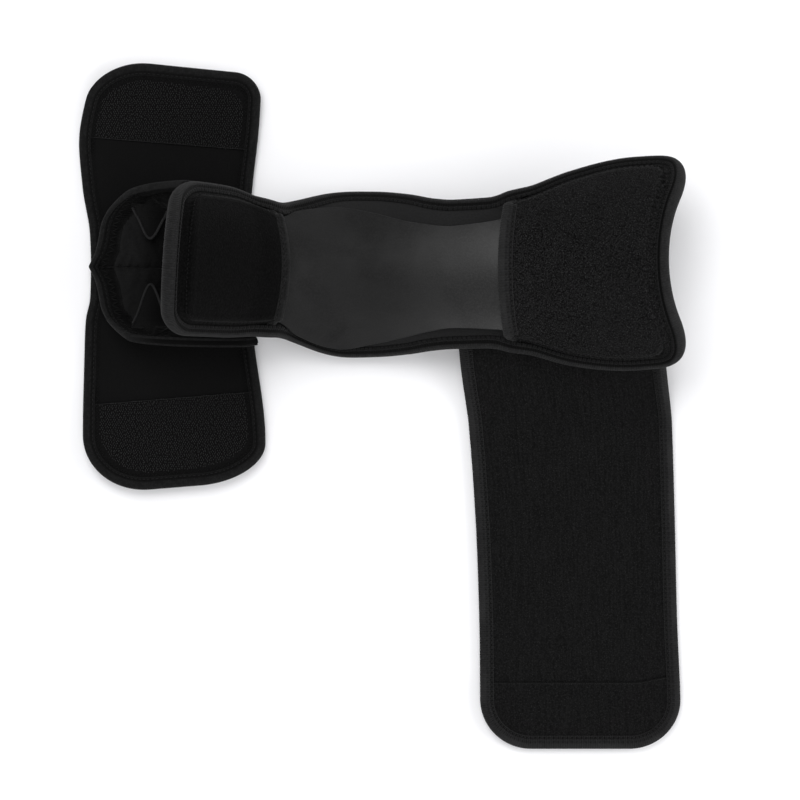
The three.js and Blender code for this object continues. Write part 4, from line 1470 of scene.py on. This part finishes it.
class SPLINT_OT_pockets(Operator):
    """Make the toe and calf pockets over the shell, and the tapes on their mouths"""

    bl_idname = "splint.pockets"
    bl_label = "Pockets"

    def execute(self, context):
        self.pocket("toe", toe_lift, TOE_TAPE, "mouth_tape", (0.105, 0.092), lambda run: run < TOE_MOUTH - 3)
        self.pocket("calf", calf_lift, CALF_TAPE, "twin_tape", (0.14, 0.1), lambda run: run > CALF_MOUTH + 7)
        return {"FINISHED"}

    def pocket(self, name, lift, lap, tape, flat, inside):
        """One pocket: its cloth with a hem, sewn where inside(run) holds, and its mouth tape."""
        toe = name == "toe"
        on = pocket_sheet(toe)
        top = above(lift, POCKET_WALL)
        piece = Piece()
        add_wall(piece, on, *grid("pocket"), lift, top, 0.2)
        hem = liner_edge()
        sew(piece, hem, HEM_STITCH, top, hem.span(inside), HEM_THREAD)
        cloth = piece.make(f"{name}_pocket_cloth", [name, "dark_thread"], "loop_cloth", f"{name}_pocket")

        piece = Piece()
        line = np.linspace(-0.97, 0.97, 160) * (1 if toe else -1)
        edge = Edge(on, width_line(1.0 if toe else 0.0, line), False)
        sewn_tape(piece, edge, lift, top, lap, MOUTH_ROLL, MOUTH_UNDER)
        mouth = piece.make(f"{name}_mouth_tape", [tape, "thread"], "edge_tape", f"{name}_pocket_tape")


class SPLINT_OT_sling(Operator):
    """Make the two padded halves of the sole sling, their rim tapes and the lining tabs"""

    bl_idname = "splint.sling"
    bl_label = "Sling"

    def execute(self, context):
        for name, side in (("upper", 1), ("lower", -1)):
            pad = self.pad(name, side)
            self.rim_tape(name, side)
            self.tongue(name, side, pad)
        return {"FINISHED"}

    def pad(self, name, side):
        """One half's pad, whose lining is puffed by the cloth solver, apart from its border, its hem band
        and the place of its tab."""
        frames = bpy.context.scene.night_splint.sizes.settle_frames
        on = sling_sheet(side)
        coarse, fine = sling_grid(41, 49), sling_grid(84, 280)
        u, v = np.meshgrid(*coarse, indexing="ij")
        run, across = on.place(u, v)
        rim, heel = sling_edges(across)
        away = np.abs(across)
        beside = np.abs(mix(rim, heel, run) - TAB_X) < TAB_HALF
        under = beside & (away > sling_side(TAB_REACH, side)) & (away < TAB_BASE)
        held = (run * (heel - rim) < SLING_HEM) | (u == 1) | (np.abs(v) == 1) | under
        puff = settle(on.at(run, across, 0.0), on.turn, held, frames, sizes()["slack"])
        puff = finer(puff, coarse, fine)
        hem = sling_inset(*on.place(*np.meshgrid(*fine, indexing="ij"))) < SLING_HEM
        piece = Piece()
        add_wall(piece, on, *fine, level(-PANEL_WALL), sling_lift, 0.3, moved=puff, marked=hem)
        pad = piece.make(f"sling_pad_{name}", ["lining", "hem"], "lining_cloth", f"sling_{name}")
        return pad

    def rim_tape(self, name, side):
        """The tape along one half's top and front rim, with a zigzag on the hem band behind it. Its path
        turns from the top to the rim as a square."""
        run_turn, width_turn = SLING_TURN
        top = np.linspace(0.97, run_turn, 24)
        turn = np.linspace(0, 1, 9)[1:-1]
        line = mix(-1.004, 1 - width_turn, (1 + np.sin(np.linspace(np.pi / 2, -np.pi / 2, 160))) / 2)
        path = np.concatenate([
            run_line(top, 1.0),
            np.stack([run_turn * (1 - turn) ** 2, 1 - width_turn * turn**2], -1),
            width_line(0.0, line),
        ])
        edge = Edge(sling_sheet(side), path, False)
        piece = Piece()
        sewn_tape(piece, edge, level(-PANEL_WALL), level(0.0), *SLING_TAPE)
        zigzag(piece, edge, SLING_ZIGZAG_INSET, sling_lift, SLING_ZIGZAG)
        kinds = ["soft_tape", "thread", "dim_thread"]
        piece.make(f"sling_rim_tape_{name}", kinds, "edge_tape", f"sling_{name}_binding")

    def tongue(self, name, side, pad):
        """One half's lining tab, edged with piping."""
        tab = tab_sheet(side)
        vs = np.linspace(-1, 1, 45)
        piece = Piece()
        add_wall(piece, tab, np.linspace(0, 1, 40), vs, tab_lower, tab_upper, 0.5, 4)
        add_cord(piece, Edge(tab, width_line(1.0, vs), False), 0.2, TAB_WALL * 0.8, TAB_PIPING, 1)
        kinds = ["lining", "piping"]
        tongue = piece.make(f"lining_tongue_{name}", kinds, "lining_cloth", f"lining_tab_{name}")


class SPLINT_OT_wrap(Operator):
    """Make the foot wrap, its edge tape and its two hook fields"""

    bl_idname = "splint.wrap"
    bl_label = "Foot wrap"

    def execute(self, context):
        lap = sizes()["wrap_lap"]
        piece = Piece()
        add_wall(piece, wrap_sheet(PANEL_TUCK), *grid("wrap"), level(0.0), level(PANEL_WALL), SOFT_RIM)
        panel = piece.make("wrap_panel", ["wrap"], "wrap_foam", "foot_wrap")

        piece = Piece()
        edge = Edge(wrap_sheet(0.0), around(*grid("wrap_edge")), True)
        sewn_tape(piece, edge, level(0.0), wrap_tape_high, lap)
        zigzag(piece, edge, lap + WRAP_ZIGZAG_GAP, wrap_tape_high, WRAP_ZIGZAG)
        kinds = ["soft_tape", "thread", "dark_thread"]
        tape = piece.make("wrap_edge_tape", kinds, "edge_tape", "foot_wrap_binding")
        fields = [self.hook_field("upper"), self.hook_field("lower")]
        return {"FINISHED"}

    def hook_field(self, name):
        """One hook field: a woven ground under the edge tape, a cord along its straight edge, and its
        hooks."""
        upper = name == "upper"
        size = sizes()
        if upper:
            ends = {"end": lambda v: HOOK_UPPER + HOOK_SLANT * v}
        else:
            ends = {"start": lambda v: HOOK_LOWER - HOOK_SLANT * v}
        on = wrap_sheet(size["wrap_lap"] - PATCH_TUCK, **ends)
        base = PANEL_WALL + GAP / 2
        top = base + HOOK_GROUND
        piece = Piece()
        add_wall(piece, on, *grid("hook_ground"), level(base), level(top), 0.2)
        line = np.linspace(-1, 1, 90) * (1 if upper else -1)
        edge = Edge(on, width_line(1.0 if upper else 0.0, line), False)
        add_cord(piece, edge, 0.2, base + 0.4, 0.3, 2)
        self.add_hooks(piece, wrap_sheet(size["hook_inset"], **ends), top, HOOK_SEEDS[name])
        kinds = ["hook_ground", "hooks", "thread"]
        return piece.make(f"hook_field_{name}", kinds, "hook_tape", f"hook_patch_{name}")

    def add_hooks(self, piece, on, top, seed):
        """Staggered rows of small hooks, scattered a little: each rises as a sine and bends over along the
        run, to one side or the other."""
        size = sizes()
        pitch = size["hook_pitch"]
        runs = np.arange(*HOOK_RUNS, pitch * 0.85)
        run, across = np.meshgrid(runs, np.arange(*HOOK_ACROSSES, pitch), indexing="ij")
        across = across + (np.arange(len(runs)) % 2)[:, None] * pitch * 0.5
        rng = np.random.default_rng(seed)
        run = run + rng.normal(0, HOOK_SCATTER, run.shape)
        across = across + rng.normal(0, HOOK_SCATTER, run.shape)
        v = (across - on.middle(run)) / on.half(run)
        start, end = on.start(np.clip(v, -1, 1)), on.end(np.clip(v, -1, 1))
        inside = (np.abs(v) < 1.0) & (run > start) & (run < end)
        run, across = run[inside][:, None], across[inside][:, None]
        t = np.linspace(0, 1, 5)[None]
        lean = rng.choice([-1.0, 1.0], run.shape)
        height = size["hook_height"] * np.sin(t * 2.3) * rng.uniform(0.85, 1.1, run.shape)
        paths = on.at(run + lean * HOOK_BEND * (t - 0.35), across + 0 * t, top - 0.1 + height)
        ups = np.broadcast_to(np.array((1.0, 0.0, 0.0)), paths.shape)
        add_threads(piece, paths, ups, HOOK_RADIUS, 1)


class SPLINT_OT_strap(Operator):
    """Make the calf strap, its edge tape and its end panel"""

    bl_idname = "splint.strap"
    bl_label = "Calf strap"

    def execute(self, context):
        lap = sizes()["strap_lap"]
        piece = Piece()
        on = strap_sheet(none, PANEL_TUCK)
        add_wall(piece, on, *grid("strap"), level(0.0), level(PANEL_WALL), SOFT_RIM)
        strap = piece.make("strap_panel", ["strap"], "loop_cloth", "calf_strap")

        piece = Piece()
        us, vs = grid("strap_edge", 0.02)
        sides = run_line(us, -1.0)[:-1], width_line(1.0, vs)[:-1], run_line(us[::-1], 1.0)
        edge = Edge(strap_sheet(none, 0.0), np.concatenate(sides), False)
        sewn_tape(piece, edge, level(0.0), strap_tape_high, lap)
        tape = piece.make("strap_edge_tape", ["twin_tape", "thread"], "edge_tape", "strap_binding")

        piece = Piece()
        on = strap_sheet(strap_patch_line, lap - PATCH_TUCK)
        low = PANEL_WALL + GAP / 2
        add_wall(piece, on, *grid("strap_end"), level(low), level(low + STRAP_PATCH_WALL), 0.4)
        edge = Edge(on, width_line(0.0, np.linspace(0.99, -0.99, 80)), False)
        add_cord(piece, edge, -0.5, low + 0.35, 0.4, 1)
        panel = piece.make("strap_end_cloth", ["strap", "dark_thread"], "loop_cloth", "strap_end_panel")
        return {"FINISHED"}


class SPLINT_OT_stage(Operator):
    """Make the pale table, the soft studio lights and the camera above it"""

    bl_idname = "splint.stage"
    bl_label = "Stage"

    def execute(self, context):
        scene = context.scene
        mesh = bpy.data.meshes.new("table")
        signs = ((-1, -1), (1, -1), (1, 1), (-1, 1))
        corners = [(x * TABLE_HALF, y * TABLE_HALF, -TABLE_DROP) for x, y in signs]
        mesh.from_pydata(corners, [], [(0, 1, 2, 3)])
        mesh.materials.append(floor_finish(scene.night_splint.colours.floor))
        table = bpy.data.objects.new("table", mesh)
        scene.collection.objects.link(table)

        world = bpy.data.worlds.new("studio")
        world.use_nodes = True
        world.node_tree.nodes["Background"].inputs["Color"].default_value = (1, 1, 1, 1)
        world.node_tree.nodes["Background"].inputs["Strength"].default_value = WORLD_LIGHT
        scene.world = world
        for softbox in SOFTBOXES:
            self.light(scene, *softbox)

        camera = bpy.data.cameras.new("camera")
        camera.sensor_width = CAMERA_SENSOR
        camera.lens = CAMERA_SENSOR * CAMERA_HEIGHT / CAMERA_VIEW
        camera.clip_start, camera.clip_end = 0.01, 20.0
        eye = bpy.data.objects.new("camera", camera)
        eye.location = (PLAN_TO_PART[0] * MM, PLAN_TO_PART[1] * MM, CAMERA_HEIGHT * MM)
        scene.collection.objects.link(eye)
        scene.camera = eye
        scene.view_settings.view_transform = "Standard"
        return {"FINISHED"}

    def light(self, scene, name, place, aim, size, power):
        """A square softbox at a place, turned towards its aim."""
        lamp = bpy.data.lights.new(name, "AREA")
        lamp.energy = power
        lamp.size = size
        obj = bpy.data.objects.new(name, lamp)
        away = np.array(place, float) - np.array(aim, float)
        obj.location = place
        flat = math.hypot(away[0], away[1])
        obj.rotation_euler = (math.atan2(flat, away[2]), 0.0, math.atan2(away[0], -away[1]))
        scene.collection.objects.link(obj)


class SPLINT_PT_panel(Panel):
    """The night splint's pieces and settings"""

    bl_idname = "SPLINT_PT_panel"
    bl_label = "Night splint"
    bl_space_type = "VIEW_3D"
    bl_region_type = "UI"
    bl_category = "Splint"

    def draw(self, context):
        settings = context.scene.night_splint
        for maker in MAKERS:
            self.layout.operator(maker.bl_idname)
        for group in (settings.sizes, settings.colours):
            box = self.layout.box()
            for key in group.bl_rna.properties.keys():
                if key not in ("rna_type", "name"):
                    box.prop(group, key)


MAKERS = (
    SPLINT_OT_shell,
    SPLINT_OT_liner,
    SPLINT_OT_pockets,
    SPLINT_OT_sling,
    SPLINT_OT_wrap,
    SPLINT_OT_strap,
    SPLINT_OT_stage,
)
CLASSES = (SplintSizes, SplintColours, SplintSettings, *MAKERS, SPLINT_PT_panel)


def register():
    for cls in CLASSES:
        bpy.utils.register_class(cls)
    bpy.types.Scene.night_splint = PointerProperty(type=SplintSettings)


def unregister():
    del bpy.types.Scene.night_splint
    for cls in reversed(CLASSES):
        bpy.utils.unregister_class(cls)


def main():
    """Register the classes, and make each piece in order."""
    register()
    bpy.ops.splint.shell()
    bpy.ops.splint.liner()
    bpy.ops.splint.pockets()
    bpy.ops.splint.sling()
    bpy.ops.splint.wrap()
    bpy.ops.splint.strap()
    bpy.ops.splint.stage()


if __name__ == "__main__":
    main()
